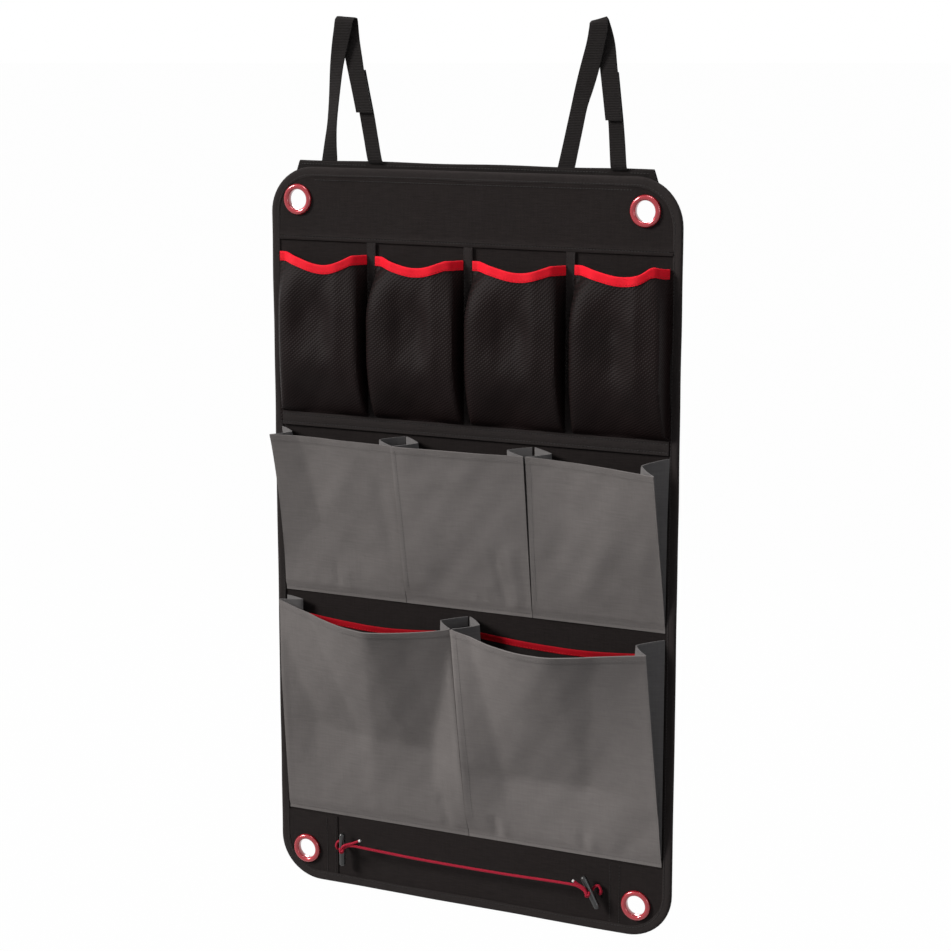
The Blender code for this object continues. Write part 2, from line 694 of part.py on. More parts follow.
def build_inner_pockets(row, mats, body):
    columns, rows = 9, 6
    stand = LINING_T / 2 + 2 * GAP + TRIM_T
    for number in range(row.count):
        xa, xb = row.line(number), row.line(number + 1)
        grid = []
        for i in range(columns):
            t = i / (columns - 1)
            points = []
            top = INNER_TOP_Z - GAP - TRIM_T - 0.004 * math.sin(math.pi * t)
            for height, s in lip_shares(rows, top - INNER_BOTTOM_Z):
                inset = INNER_INSET + INNER_TAPER * (1 - s)
                x = xa + inset + (xb - xa - 2 * inset) * t
                z = INNER_BOTTOM_Z + (top - INNER_BOTTOM_Z) * height
                lift = (stand - LINING_T / 2) * s ** 4
                y = -GAP - LINING_T / 2 - lift - INNER_BULGE * math.sin(math.pi * t) * s ** 2
                points.append(Vector((x, y, z)))
            grid.append(points)
        add_object(f"inner_pocket_{number + 1}", *sheet_shape(grid, LINING_T), mats["black_fabric"], parent=body,
                   smooth=60)
        edge = [column[-1] for column in grid]
        channel = trim_shape(edge, LINING_T, TRIM_H - 0.001)
        add_object(f"inner_trim_{number + 1}", *channel, mats["red_tape"], parent=body, smooth=50)


def smooth_route(points, count):
    """Points evenly shared along a smooth curve through the route's own points."""
    ends = [points[0] * 2 - points[1]] + points + [points[-1] * 2 - points[-2]]
    fine = []
    for k in range(1, len(ends) - 2):
        p0, p1, p2, p3 = ends[k - 1], ends[k], ends[k + 1], ends[k + 2]
        for n in range(20):
            t = n / 20
            fine.append(0.5 * (2 * p1 + (p2 - p0) * t + (2 * p0 - 5 * p1 + 4 * p2 - p3) * t ** 2
                               + (3 * p1 - 3 * p2 + p3 - p0) * t ** 3))
    fine.append(points[-1])
    lengths = [0.0]
    for a, b in zip(fine, fine[1:]):
        lengths.append(lengths[-1] + (b - a).length)
    route, k = [], 0
    for n in range(count):
        want = lengths[-1] * n / (count - 1)
        while k < len(fine) - 2 and lengths[k + 1] < want:
            k += 1
        share = (want - lengths[k]) / (lengths[k + 1] - lengths[k])
        route.append(fine[k].lerp(fine[k + 1], min(1.0, share)))
    return route


def tube_shape(route, radius, sides=8):
    """A round tube along a route, closed by a flat cap at each end."""
    verts, normal = [], None
    count = len(route)
    for k, point in enumerate(route):
        along = (route[min(k + 1, count - 1)] - route[max(k - 1, 0)]).normalized()
        if normal is None:
            normal = along.orthogonal().normalized()
        normal = (normal - along * normal.dot(along)).normalized()
        other = along.cross(normal)
        for n in range(sides):
            angle = 2 * math.pi * n / sides
            verts.append(point + (normal * math.cos(angle) + other * math.sin(angle)) * radius)
    faces = []
    for k in range(count - 1):
        for n in range(sides):
            m = (n + 1) % sides
            faces.append([k * sides + n, k * sides + m, (k + 1) * sides + m, (k + 1) * sides + n])
    faces.append(list(range(sides)))
    faces.append([(count - 1) * sides + n for n in range(sides)])
    return verts, faces


def ball_shape(centre, radius, squash=1.0, segments=10, rings=6):
    """A knot's plain outer form, drawn in along X."""
    verts = [centre + Vector((0, 0, radius))]
    for k in range(1, rings):
        tilt = math.pi * k / rings
        for n in range(segments):
            angle = 2 * math.pi * n / segments
            reach = Vector((squash * math.sin(tilt) * math.cos(angle), math.sin(tilt) * math.sin(angle),
                            math.cos(tilt)))
            verts.append(centre + reach * radius)
    verts.append(centre - Vector((0, 0, radius)))
    faces = []
    for n in range(segments):
        m = (n + 1) % segments
        faces.append([0, 1 + n, 1 + m])
        last = 1 + (rings - 2) * segments
        faces.append([len(verts) - 1, last + m, last + n])
        for k in range(rings - 2):
            a = 1 + k * segments
            faces.append([a + n, a + segments + n, a + segments + m, a + m])
    return verts, faces


def cord_places():
    """Where the cord is knotted, in front of each toggle and behind its hole in the panel."""
    knot_y = TOGGLE_Y - TOGGLE_D / 2 - GAP - KNOT_R
    rear_y = PANEL_T + GAP + KNOT_R
    left_hole, right_hole = cord_holes()
    return knot_y, rear_y, left_hole, right_hole


def build_cord(mats, body):
    """One cord: a knot behind the panel at each end, through each toggle, knotted in front."""
    knot_y, rear_y, left_hole, right_hole = cord_places()
    pieces = []
    for x, hole in ((TOGGLE_LEFT_X, left_hole), (TOGGLE_RIGHT_X, right_hole)):
        towards = 1 if x > hole[0] else -1
        route = [
            Vector((hole[0], rear_y, hole[1])),
            Vector((hole[0], PANEL_T / 2, hole[1])),
            Vector((hole[0] - towards * 0.0001, FRONT_LAYER_Y - 0.0006, hole[1])),
            Vector((hole[0] - towards * 0.0004, -0.0034, hole[1] + 0.0008)),
            Vector((hole[0] + towards * 0.0030, -0.0046, hole[1] + 0.0022)),
            Vector((x - towards * 0.0014, -0.0052, TOGGLE_Z - 0.0002)),
            Vector((x, -0.0072, TOGGLE_Z)),
            Vector((x, TOGGLE_Y, TOGGLE_Z)),
            Vector((x, knot_y, TOGGLE_Z)),
        ]
        pieces.append(tube_shape(smooth_route(route, 18), CORD_D / 2))
        pieces.append(ball_shape(Vector((x, knot_y, TOGGLE_Z)), KNOT_R))
        pieces.append(ball_shape(Vector((hole[0], rear_y, hole[1])), KNOT_R))
    main_run = [
        Vector((TOGGLE_LEFT_X, knot_y, TOGGLE_Z)),
        Vector((TOGGLE_LEFT_X + 0.0100, knot_y + 0.0005, CORD_MAIN_Z + 0.0002)),
        Vector((TOGGLE_LEFT_X + 0.0400, knot_y + 0.0020, CORD_MAIN_Z + 0.0006)),
        Vector((-0.0500, knot_y + 0.0040, CORD_MAIN_Z - 0.0004)),
        Vector((0.0400, knot_y + 0.0040, CORD_MAIN_Z - 0.0006)),
        Vector((TOGGLE_RIGHT_X - 0.0400, knot_y + 0.0020, CORD_MAIN_Z)),
        Vector((TOGGLE_RIGHT_X - 0.0100, knot_y + 0.0005, CORD_MAIN_Z - 0.0004)),
        Vector((TOGGLE_RIGHT_X, knot_y, TOGGLE_Z)),
    ]
    pieces.append(tube_shape(smooth_route(main_run, 38), CORD_D / 2))
    tails = (
        ("left", TOGGLE_LEFT_X, Vector((TAIL_LEFT_OUT, 0.0012, TAIL_LEFT_UP))),
        ("right", TOGGLE_RIGHT_X, Vector((-TAIL_RIGHT_OUT, -0.0010, TAIL_RIGHT_UP))),
    )
    for name, x, end in tails:
        knot = Vector((x, knot_y, TOGGLE_Z))
        middle = knot + end * 0.55 + Vector((0, -0.001, 0.0022))
        route = smooth_route([knot, middle, knot + end], 9)
        along = (route[-1] - route[-2]).normalized()
        pieces.append(tube_shape(route, CORD_D / 2))
        tip = tube_shape([knot + end + along * GAP, knot + end + along * 0.0024], CORD_D / 2)
        add_object("cord_tip_" + name, *tip, mats["batten_plastic"], parent=body)
    cord = add_object("elastic_cord", *pieces[0], mats["elastic"], parent=body, smooth=50)
    for number, shape in enumerate(pieces[1:]):
        part = add_object(f"cord_run_{number + 1}", *shape, mats["elastic"], parent=body)
        add_boolean(cord, part, "UNION")


def build_toggle(name, x, tilt, mats, body):
    """A waisted bar with a cross hole for the cord, turned about the cord by its own tilt."""
    profile = []
    half, radius = TOGGLE_L / 2, TOGGLE_D / 2
    steps = 14
    for k in range(steps + 1):
        along = -half + TOGGLE_L * k / steps
        share = abs(along) / half
        end = math.sqrt(max(0.0, 1 - max(0.0, (share - 0.86) / 0.14) ** 2))
        waist = 0.86 + 0.14 * min(1.0, share / 0.45)
        profile.append((max(radius * waist * end, radius * 0.30), along))
    verts, faces, sides = [], [], 12
    for r, along in profile:
        for n in range(sides):
            angle = 2 * math.pi * n / sides
            verts.append(Vector((r * math.cos(angle), r * math.sin(angle), along)))
    for k in range(len(profile) - 1):
        for n in range(sides):
            m = (n + 1) % sides
            faces.append([k * sides + n, k * sides + m, (k + 1) * sides + m, (k + 1) * sides + n])
    faces.append(list(range(sides)))
    faces.append([(len(profile) - 1) * sides + n for n in range(sides)])
    centre = Vector((x, TOGGLE_Y, TOGGLE_Z))
    verts = [v + centre for v in verts]
    ob = add_object(name, verts, faces, mats["plastic"], origin=centre, parent=body, smooth=40)
    ob.rotation_euler = (0, tilt, 0)
    bpy.ops.mesh.primitive_cylinder_add(vertices=12, radius=CORD_D / 2 + 2 * GAP, depth=TOGGLE_D * 2,
                                        location=centre, rotation=(math.pi / 2, 0, 0))
    cutter = bpy.context.object
    cutter.name = name + "_bore_cutter"
    add_boolean(ob, cutter, "DIFFERENCE")


def main():
    clear_scene()
    mats = make_materials()
    build_straps(mats)
    panel = add_empty("panel_pivot", (0, SLEEVE_Y, HINGE_Z))
    build_back(mats, panel)
    build_eyelets(mats, panel)
    build_sleeve(mats, panel)
    build_mesh_pockets(mats, panel)
    small = Row("small", SMALL_DEPTHS, SMALL_GUSSETS_W, SMALL_TOPS_Z, SMALL_BACK_TOP_Z, SMALL_BOTTOM_Z, 0.0)
    large = Row("large", LARGE_DEPTHS, LARGE_GUSSETS_W, LARGE_TOPS_Z, LARGE_BACK_TOP_Z, LARGE_BOTTOM_Z,
                LARGE_SAG)
    for row, folds in ((small, small_folds), (large, large_folds)):
        hinge_y, hinge_z = -HEM_GAP - FABRIC_T / 2, row.bottom + HEM_H
        hinges = [
            add_empty(f"{row.name}_pivot_{n + 1}", (0, hinge_y, hinge_z), panel) for n in range(row.count)
        ]
        build_fronts(row, mats, folds, hinges)
        build_gussets(row, mats, panel)
    build_inner_pockets(large, mats, panel)
    build_cord(mats, panel)
    build_toggle("toggle_left", TOGGLE_LEFT_X, 0.0, mats, panel)
    build_toggle("toggle_right", TOGGLE_RIGHT_X, -TOGGLE_RIGHT_TILT, mats, panel)


main()
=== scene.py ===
# The looks of the hanging pocket organizer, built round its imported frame.
# Metres, +Z up, the front faces -Y, the rail that it hangs from runs along X through the origin.
import math

import bmesh
import bpy
import numpy as np
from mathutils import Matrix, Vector


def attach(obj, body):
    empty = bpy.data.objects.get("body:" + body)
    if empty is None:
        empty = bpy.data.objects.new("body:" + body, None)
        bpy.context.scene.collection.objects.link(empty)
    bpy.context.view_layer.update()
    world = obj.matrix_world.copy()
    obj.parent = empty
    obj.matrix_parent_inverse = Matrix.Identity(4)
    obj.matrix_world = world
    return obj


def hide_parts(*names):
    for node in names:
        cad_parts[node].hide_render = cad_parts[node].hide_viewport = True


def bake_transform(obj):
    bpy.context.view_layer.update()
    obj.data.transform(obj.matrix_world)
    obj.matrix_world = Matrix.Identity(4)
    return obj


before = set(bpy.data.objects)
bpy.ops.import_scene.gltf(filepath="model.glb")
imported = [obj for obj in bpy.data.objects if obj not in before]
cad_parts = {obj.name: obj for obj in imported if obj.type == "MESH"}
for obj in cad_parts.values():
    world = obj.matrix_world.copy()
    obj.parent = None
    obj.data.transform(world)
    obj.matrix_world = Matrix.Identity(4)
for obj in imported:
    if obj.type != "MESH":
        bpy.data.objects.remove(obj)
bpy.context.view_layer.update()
TAU = 2 * math.pi

# Sizes repeated from the part's source
GAP = 0.0003
PANEL_W, PANEL_H, PANEL_T = 0.464, 0.79, 0.0016
PANEL_TOP, PANEL_BOTTOM = -0.152, -0.942
CORNER_R, BINDING_W = 0.048, 0.009
HEADER_Z, PATCH_TOP, PATCH_W = -0.228, PANEL_BOTTOM + 0.076, 0.07
SLEEVE_TOP, SLEEVE_BOTTOM, SLEEVE_Y = -0.144, -0.1675, 0.00465
STRAP_T, HOOK_T = 0.0015, 0.0008
EYELETS = {
    "top_left": (-0.20068, -0.1855), "bottom_left": (-0.20068, -0.9085),
    "top_right": (0.19386, -0.18482), "bottom_right": (0.19386, -0.90918),
}
EYELET_R, EYELET_BORE = 0.0164, 0.0106
MESH_TOP, MESH_BOTTOM, MESH_T = -0.2425, -0.4135, 0.0012
DIVIDER_X = (-0.1128, -0.0002, 0.1142)
DIVIDER_W, HEM_TAPE_H, TRIM_H = 0.01, 0.0145, 0.0083
ROW_W = 0.444
CLOTH_T, LINING_T = 0.0008, 0.0007
INNER_TOP, INNER_BOTTOM, INNER_TRIM_H = -0.6345, -0.84, 0.0056
INNER_H = 0.2055
TOGGLE_X = {"left": -0.1517, "right": 0.1455}
TOGGLE_Y, TOGGLE_Z, KNOT_Y = -0.0094, -0.9, -0.016
TOGGLE_L, TOGGLE_R = 0.038, 0.0036
TOGGLE_TILT = {"left": 0.0, "right": math.radians(27.7)}
HOLE = {"left": (-0.1597, -0.903), "right": (0.1535, -0.903)}
KNOTS = {"left": (-0.149, KNOT_Y, -0.8985), "right": (0.145, KNOT_Y, -0.8998)}
TAIL_ENDS = {"left": (-0.1282, -0.0148, -0.885), "right": (0.1305, -0.017, -0.8878)}
CORD_R, CORD_Z = 0.0015, -0.893

# How the cloth is made up. The flat widths are what a tape measures before it is folded.
EYELET_HOLES = {name: (x, z, EYELET_BORE + 0.0014) for name, (x, z) in EYELETS.items()}
FACING_INSET, FACING_T = 0.0085, 0.0007
TAPE_T, TRIM_TAPE_T, TRIM_GAP = 0.0007, 0.0006, 0.0001
HEMS = {"small": 0.0062, "large": 0.0066}
BINDING_FLAT_W, TRIM_FLAT_W, INNER_TRIM_FLAT_W = 0.024, 0.0215, 0.0155
SLEEVE_HALF_W, SLEEVE_FLARE, SLEEVE_SEAM_Z = 0.2, 0.008, -0.148
SLEEVE_SEAMS = ((-0.198, -0.12), (-0.096, 0.152), (0.176, 0.198))
INNER_SAGS = (0.006, 0.004)
STITCH_PITCH, STITCH_L = 0.0034, 0.0025
STITCH_R, RED_STITCH_R, GREY_STITCH_R = 0.00036, 0.00025, 0.00024

# The mesh pockets, from left to right: their seams, how far the mouth rises and sags, where the
# sag lies, where the hollow under it starts and ends, how far the left side leans, and how far
# the mouth kinks up at the right. Then their height over all, the height of a sagging mouth, and
# the height from which the cloth has the drawn mouth's plan.
MESH_STARTS, MESH_ENDS = (-0.2222, -0.1073, 0.0055, 0.1195), (-0.1183, -0.006, 0.1088, 0.2204)
MESH_RISES, MESH_SAGS = (0.0012, 0.0003, 0.0002, 0.0012), (0.0108, 0.0084, 0.0081, 0.0078)
MESH_SLACKS = ((0.84, 1.5), (0.81, 1.32), (0.84, 1.45), (0.85, 1.45))
MESH_HOLLOWS = ((0.5, 0.68), (0.47, 0.69), (0.48, 0.69), (0.34, 0.61))
MESH_LEANS, MESH_KINKS = (0.01, 0.0, 0.0012, 0.004), (0.0, 0.0, 0.0, 0.0035)
MESH_H, MESH_MOUTH_H, MESH_DRAWN_H = 0.171, 0.162, 0.1615
# Seen from above, each point of a mesh pocket where it is full and at its drawn mouth: counted
# from its left seam, then its middle, then counted from its right seam
MESH_PLAN = (
    ((0.0, 0.0), (0.0, 0.0)), ((-0.003, 0.008), (0.0035, 0.0003)),
    ((-0.0027, 0.0165), (0.0075, 0.001)), ((0.0035, 0.0228), (0.015, 0.0075)),
    ((0.02, 0.0256), (0.027, 0.0155)), ((0.0, 0.0268), (0.0, 0.0205)),
    ((-0.02, 0.0264), (-0.027, 0.019)), ((-0.0055, 0.0266), (-0.013, 0.015)),
    ((-0.0008, 0.0262), (-0.008, 0.0122)), ((0.0, 0.024), (-0.0058, 0.0088)),
    ((0.0, 0.012), (-0.0028, 0.0042)), ((0.0, 0.0), (0.0, 0.0)),
)
PLAN_MIDDLE = 5


def rise(low, high, value):
    """0 up to low, 1 from high on, and smooth between them."""
    share = np.clip((np.asarray(value, float) - low) / (high - low), 0, 1)
    return share * share * (3 - 2 * share)


def bell(value, centre, width):
    return np.exp(-((np.asarray(value, float) - centre) / width) ** 2)


def arch(share):
    """0 at both ends and 1 in the middle."""
    return np.sin(math.pi * share)


def turns(count):
    return np.linspace(0, TAU, count, endpoint=False)


def wander(x, z, seed, size, amount):
    """The soft unevenness of cloth: the same for the same place each time."""
    a = np.sin(TAU * x / size + seed) * np.cos(TAU * 0.83 * z / size + 1.7 * seed)
    b = np.sin(TAU * (0.6 * x + 1.1 * z) / (0.53 * size) + 2.3 * seed)
    c = np.sin(TAU * (0.9 * x - 0.7 * z) / (0.31 * size) + 3.1 * seed)
    return amount * (a + 0.55 * b + 0.3 * c) / 1.4


def panel_wave(x, z):
    """How far the panel's cloth is out of flat."""
    return wander(np.asarray(x, float), np.asarray(z, float), 0.4, 0.19, 0.0005)


# Materials

def cleared(holder):
    """The empty node tree of a material or a world."""
    holder.use_nodes = True
    holder.node_tree.nodes.clear()
    return holder.node_tree


def put(tree, socket, value):
    if isinstance(value, bpy.types.NodeSocket):
        tree.links.new(value, socket)
    else:
        socket.default_value = (*value, 1.0)[:4] if socket.type == "RGBA" else value


def add_node(tree, kind, *values, **named):
    """A new shader node. The values go to its inputs in their order. A name with a capital is an
    input, and another name is a setting. What is already a socket is linked."""
    node = tree.nodes.new("ShaderNode" + kind)
    pairs = []
    for name, value in named.items():
        if name[0].isupper():
            pairs.append((node.inputs[name.replace("_", " ")], value))
        else:
            setattr(node, name, value)
    if kind == "Mix":
        pairs += zip([node.inputs["Factor"]] + [s for s in node.inputs if s.type == "RGBA"], values)
    else:
        pairs += zip(node.inputs, values)
    for socket, value in pairs:
        put(tree, socket, value)
    return node


class Graph:
    """One material's nodes, with Object coordinates, which are metres in the part's own frame."""

    def __init__(self, name, **uniform):
        self.mat = bpy.data.materials.new(name)
        self.tree = cleared(self.mat)
        self.shader = self.add("BsdfPrincipled", **uniform)
        self.add("OutputMaterial", self.shader.outputs[0])
        self.place = self.add("TexCoord").outputs["Object"]
        self.x, self.y, self.z = self.add("SeparateXYZ", self.place).outputs

    def add(self, kind, *values, **named):
        return add_node(self.tree, kind, *values, **named)

    def math(self, operation, *values):
        return self.add("Math", *values, operation=operation).outputs[0]

    def total(self, *terms):
        """The sum of value * share over (value, share) pairs."""
        parts = [self.math("MULTIPLY", value, share) for value, share in terms]
        made = parts[0]
        for part in parts[1:]:
            made = self.math("ADD", made, part)
        return made

    def wavy(self, value, pitch):
        return self.math("SINE", self.math("MULTIPLY", value, TAU / pitch))

    def noise(self, stretch, detail=2.0, roughness=0.5):
        stretch = stretch if isinstance(stretch, tuple) else (stretch,) * 3
        scaled = self.add("Mapping", Vector=self.place, Scale=stretch).outputs[0]
        made = self.add("TexNoise", Vector=scaled, Scale=1.0, Detail=detail, Roughness=roughness)
        return made.outputs["Fac"]

    def spread(self, value, low, high, to_low=0.0, to_high=1.0):
        return self.add("MapRange", value, low, high, to_low, to_high).outputs[0]

    def blend(self, share, a, b):
        mixed = self.add("Mix", share, a, b, data_type="RGBA")
        return [s for s in mixed.outputs if s.type == "RGBA"][0]

    def finish(self, colour, height, distance, strength, roughness):
        """The material with its colour, its bump and its roughness, a number, a socket or (clouds,
        least, most)."""
        if isinstance(roughness, tuple):
            roughness = self.spread(roughness[0], 0.3, 0.7, *roughness[1:])
        bump = self.add("Bump", Strength=strength, Distance=distance, Height=height).outputs[0]
        for name, value in (("Base Color", colour), ("Roughness", roughness), ("Normal", bump)):
            put(self.tree, self.shader.inputs[name], value)
        return self.mat


def woven(name, light, dark, pitch, streaks, distance):
    """Plain woven cloth: crossing threads, slubs along the weft and faint cloudy wear."""
    g = Graph(name, Sheen_Weight=0.02, Sheen_Roughness=0.5, Specular_IOR_Level=0.1)
    across = g.total((g.x, 1.0), (g.y, 0.45))
    weave = g.math("MULTIPLY", g.wavy(across, pitch), g.wavy(g.z, pitch))
    weft, warp = g.noise((60, 60, 720), 3.0), g.noise((620, 350, 45), 2.0)
    clouds = g.noise((13, 13, 11), 4.0, 0.6)
    shade = g.total((weave, 0.07), (weft, 1.7 * streaks), (warp, 0.8 * streaks), (clouds, 0.6))
    middle = 1.25 * streaks + 0.3
    colour = g.blend(g.spread(shade, middle - 0.5, middle + 0.5), dark, light)
    height = g.total((weave, 0.5), (weft, 0.9), (warp, 0.5))
    return g.finish(colour, height, distance, 0.8, (clouds, 0.79, 0.91))


def ribbed(name, light, dark, pitch, distance, roughness=0.7, sheen=0.02, along_z=False):
    """Woven tape with fine ribs."""
    g = Graph(name, Sheen_Weight=sheen, Specular_IOR_Level=0.08)
    across = g.total((g.x, 1.0), (g.y, 0.45))
    ribs = g.wavy(g.z if along_z else across, pitch)
    weft = g.wavy(across if along_z else g.z, pitch * 0.6)
    threads, clouds = g.noise(600), g.noise(25, 3.0)
    shade = g.total((ribs, 0.22), (weft, 0.08), (threads, 0.5), (clouds, 0.5))
    height = g.total((ribs, 0.5), (weft, 0.25), (threads, 0.4))
    colour = g.blend(g.spread(shade, 0.1, 0.9), dark, light)
    return g.finish(colour, height, distance, 0.9, (clouds, roughness - 0.08, roughness + 0.08))


def knitted(name):
    """Open spacer knit: rows of small dark holes between glossy ribs that rise to the right."""
    g = Graph(name, Specular_IOR_Level=0.08)
    across = g.total((g.x, 1.0), (g.y, 0.75))
    ribs = g.wavy(g.total((across, 0.62), (g.z, -0.78)), 0.003)
    holes = g.math("MULTIPLY", ribs, g.wavy(g.total((across, 0.78), (g.z, 0.62)), 0.0034))
    clouds, fuzz = g.noise(22, 3.0), g.noise(1500)
    shade = g.total((ribs, 0.17), (holes, 0.12), (clouds, 0.36), (fuzz, 0.36))
    share = g.spread(shade, -0.02, 0.75)
    height = g.total((ribs, 0.5), (holes, 0.5), (fuzz, 0.2))
    colour = g.blend(share, (0.0011, 0.0006, 0.0004), (0.0102, 0.0049, 0.0049))
    return g.finish(colour, height, 0.0002, 1.0, g.spread(share, 0.0, 1.0, 0.64, 0.54))


def enamel(name):
    """Glossy red lacquer on metal, a little darker and scuffed where it wears."""
    g = Graph(name, Metallic=0.35, Coat_Weight=0.9, Coat_Roughness=0.08, Specular_IOR_Level=0.5)
    clouds, scuffs = g.noise(160, 3.0), g.noise((900, 900, 2600), 3.0, 0.7)
    wear = g.spread(g.total((clouds, 0.6), (scuffs, 0.4)), 0.6, 0.72)
    colour = g.blend(wear, (0.36, 0.003, 0.014), (0.24, 0.004, 0.012))
    return g.finish(colour, scuffs, 0.00004, 0.5, (clouds, 0.16, 0.3))


def metal(name):
    g = Graph(name, Metallic=1.0, Specular_IOR_Level=0.5)
    brushed = g.noise((3000, 400, 3000))
    colour = g.blend(g.noise(240, 3.0), (0.4, 0.4, 0.41), (0.62, 0.61, 0.6))
    return g.finish(colour, brushed, 0.00004, 0.5, (brushed, 0.22, 0.42))


def moulded(name, light, dark, roughness):
    """Moulded plastic with a fine grain and slightly rubbed high places."""
    g = Graph(name, Specular_IOR_Level=0.5)
    grain, clouds = g.noise(2600), g.noise(180, 3.0)
    colour = g.blend(g.spread(g.total((grain, 0.4), (clouds, 0.6)), 0.35, 0.65), dark, light)
    return g.finish(colour, grain, 0.00006, 0.6, (clouds, roughness - 0.08, roughness + 0.08))


def braided(name, light, dark):
    """Braided elastic or thread: two sets of strands that cross at a slant."""
    g = Graph(name, Sheen_Weight=0.03, Specular_IOR_Level=0.2)
    one, two = (g.wavy(g.total((g.x, 1.0), (g.y, 0.5 * way), (g.z, 0.9 * way)), 0.0011) for way in (1, -1))
    shade = g.total((g.math("MAXIMUM", one, two), 0.5), (g.noise(1800), 0.5))
    return g.finish(g.blend(g.spread(shade, 0.0, 0.75), dark, light), shade, 0.0003, 0.8, 0.62)


def fuzzy(name):
    """Hook-and-loop tape."""
    g = Graph(name, Sheen_Weight=0.3, Specular_IOR_Level=0.2)
    pile = g.noise(1400, 4.0, 0.7)
    height = g.total((pile, 1.0), (g.math("MULTIPLY", g.wavy(g.x, 0.0015), g.wavy(g.z, 0.0015)), 0.3))
    return g.finish(g.blend(pile, (0.006, 0.006, 0.006), (0.035, 0.033, 0.032)), height, 0.0006, 1.0, 0.9)


# Each grey front gets its own brightness factor: painted light and shade for how the light falls on that
# front
GREYS = {}
for piece, painted_light in (("small_1", 1.0), ("small_2", 1.13), ("small_3", 1.05), ("large_1", 1.03),
                         ("large_2", 1.19)):
    GREYS[piece] = woven("grey_cloth_" + piece, [v * painted_light for v in (0.17, 0.156, 0.152)],
                         [v * painted_light for v in (0.12, 0.11, 0.107)], 0.0009, 0.46, 0.00016)
GREY_LINING = woven("grey_lining", (0.172, 0.163, 0.162), (0.11, 0.105, 0.106), 0.0009, 0.5, 0.00016)
BLACK = woven("black_cloth", (0.02, 0.0155, 0.015), (0.0075, 0.0056, 0.0054), 0.001, 0.62, 0.00025)
SLEEVE = woven("sleeve_cloth", (0.018, 0.015, 0.0145), (0.007, 0.0056, 0.0054), 0.001, 0.62, 0.00025)
TAPE = ribbed("black_tape", (0.032, 0.0262, 0.0255), (0.0125, 0.0102, 0.01), 0.0012, 0.00025)
WEBBING = ribbed("webbing", (0.019, 0.016, 0.0155), (0.005, 0.0042, 0.0042), 0.0016, 0.0004, 0.72,
                 along_z=True)
RED = ribbed("red_tape", (0.88, 0.01, 0.027), (0.68, 0.005, 0.017), 0.0011, 0.00018, 0.45, 0.03)
# The inner trims are the red tape made darker: painted shade for the shadow inside the large pockets.
INNER_RED_PAINTED_SHADE = ribbed("inner_red_tape", (0.38, 0.001, 0.009), (0.26, 0.001, 0.006), 0.0011, 0.00018, 0.6, 0.0)
KNIT = knitted("knit")
ENAMEL = enamel("red_enamel")
STEEL = metal("washer_steel")
PLASTIC = moulded("toggle_plastic", (0.026, 0.025, 0.025), (0.012, 0.012, 0.012), 0.3)
CLEAR_TIP = moulded("tip_plastic", (0.8, 0.78, 0.77), (0.62, 0.58, 0.58), 0.35)
BATTEN = moulded("batten_plastic", (0.1, 0.1, 0.1), (0.06, 0.06, 0.06), 0.5)
ELASTIC = braided("red_elastic", (0.46, 0.006, 0.034), (0.2, 0.002, 0.012))
HOOKS = fuzzy("hook_pile")
BLACK_THREAD = braided("black_thread", (0.03, 0.028, 0.027), (0.012, 0.011, 0.011))
GREY_THREAD = braided("grey_thread", (0.14, 0.13, 0.127), (0.085, 0.079, 0.077))
RED_THREAD = braided("red_thread", (0.62, 0.01, 0.018), (0.3, 0.004, 0.008))


# Shapes

def make(name, verts, faces, material, smooth=50):
    """A mesh object with outward faces, smooth except over sharp edges."""
    mesh = bpy.data.meshes.new(name)
    mesh.from_pydata([tuple(v) for v in verts], [], [tuple(f) for f in faces])
    work = bmesh.new()
    work.from_mesh(mesh)
    bmesh.ops.recalc_face_normals(work, faces=work.faces)
    work.to_mesh(mesh)
    work.free()
    mesh.polygons.foreach_set("use_smooth", [True] * len(mesh.polygons))
    mesh.set_sharp_from_angle(angle=math.radians(smooth))
    mesh.materials.append(material)
    return place_object(name, mesh)


def place_object(name, data):
    ob = bpy.data.objects.new(name, data)
    bpy.context.scene.collection.objects.link(ob)
    return ob


def stacked(x, y, z):
    """Points from coordinates that may be single numbers, columns or rows."""
    return np.stack(np.broadcast_arrays(x, y, z), axis=-1)


def steps_of(points):
    return np.linalg.norm(np.diff(points, axis=0), axis=1)


def run_along(points):
    """How far along the line each of its points lies."""
    return np.concatenate([[0], np.cumsum(steps_of(points))])


def normals_of(grid):
    cross = np.cross(np.gradient(grid, axis=0), np.gradient(grid, axis=1))
    cross = cross / np.maximum(np.linalg.norm(cross, axis=2, keepdims=True), 1e-12)
    return cross * np.where(cross[..., 1:2].mean() > 0, -1, 1)


def cloth(name, grid, thickness, material, smooth=50):
    """A closed sheet: a grid of centre points, thickened half to each side, with its rim."""
    n, m = grid.shape[:2]
    offset = normals_of(grid) * np.broadcast_to(np.asarray(thickness, float) / 2, (n, m))[..., None]
    verts = np.concatenate([(grid + offset).reshape(-1, 3), (grid - offset).reshape(-1, 3)])
    at = np.arange(n * m).reshape(n, m)
    front = np.stack([at[:-1, :-1], at[:-1, 1:], at[1:, 1:], at[1:, :-1]], axis=-1).reshape(-1, 4)
    rim = np.concatenate([at[0], at[1:, -1], at[-1, -2::-1], at[-2:0:-1, 0]])
    after = np.roll(rim, -1)
    sides = np.stack([rim, after, after + n * m, rim + n * m], axis=1)
    faces = np.concatenate([front, front[:, ::-1] + n * m, sides]).tolist()
    return make(name, verts, faces, material, smooth)


def band(a, b, count):
    """The faces between two rings of points, whose first points are a and b."""
    return [(a + j, a + (j + 1) % count, b + (j + 1) % count, b + j) for j in range(count)]


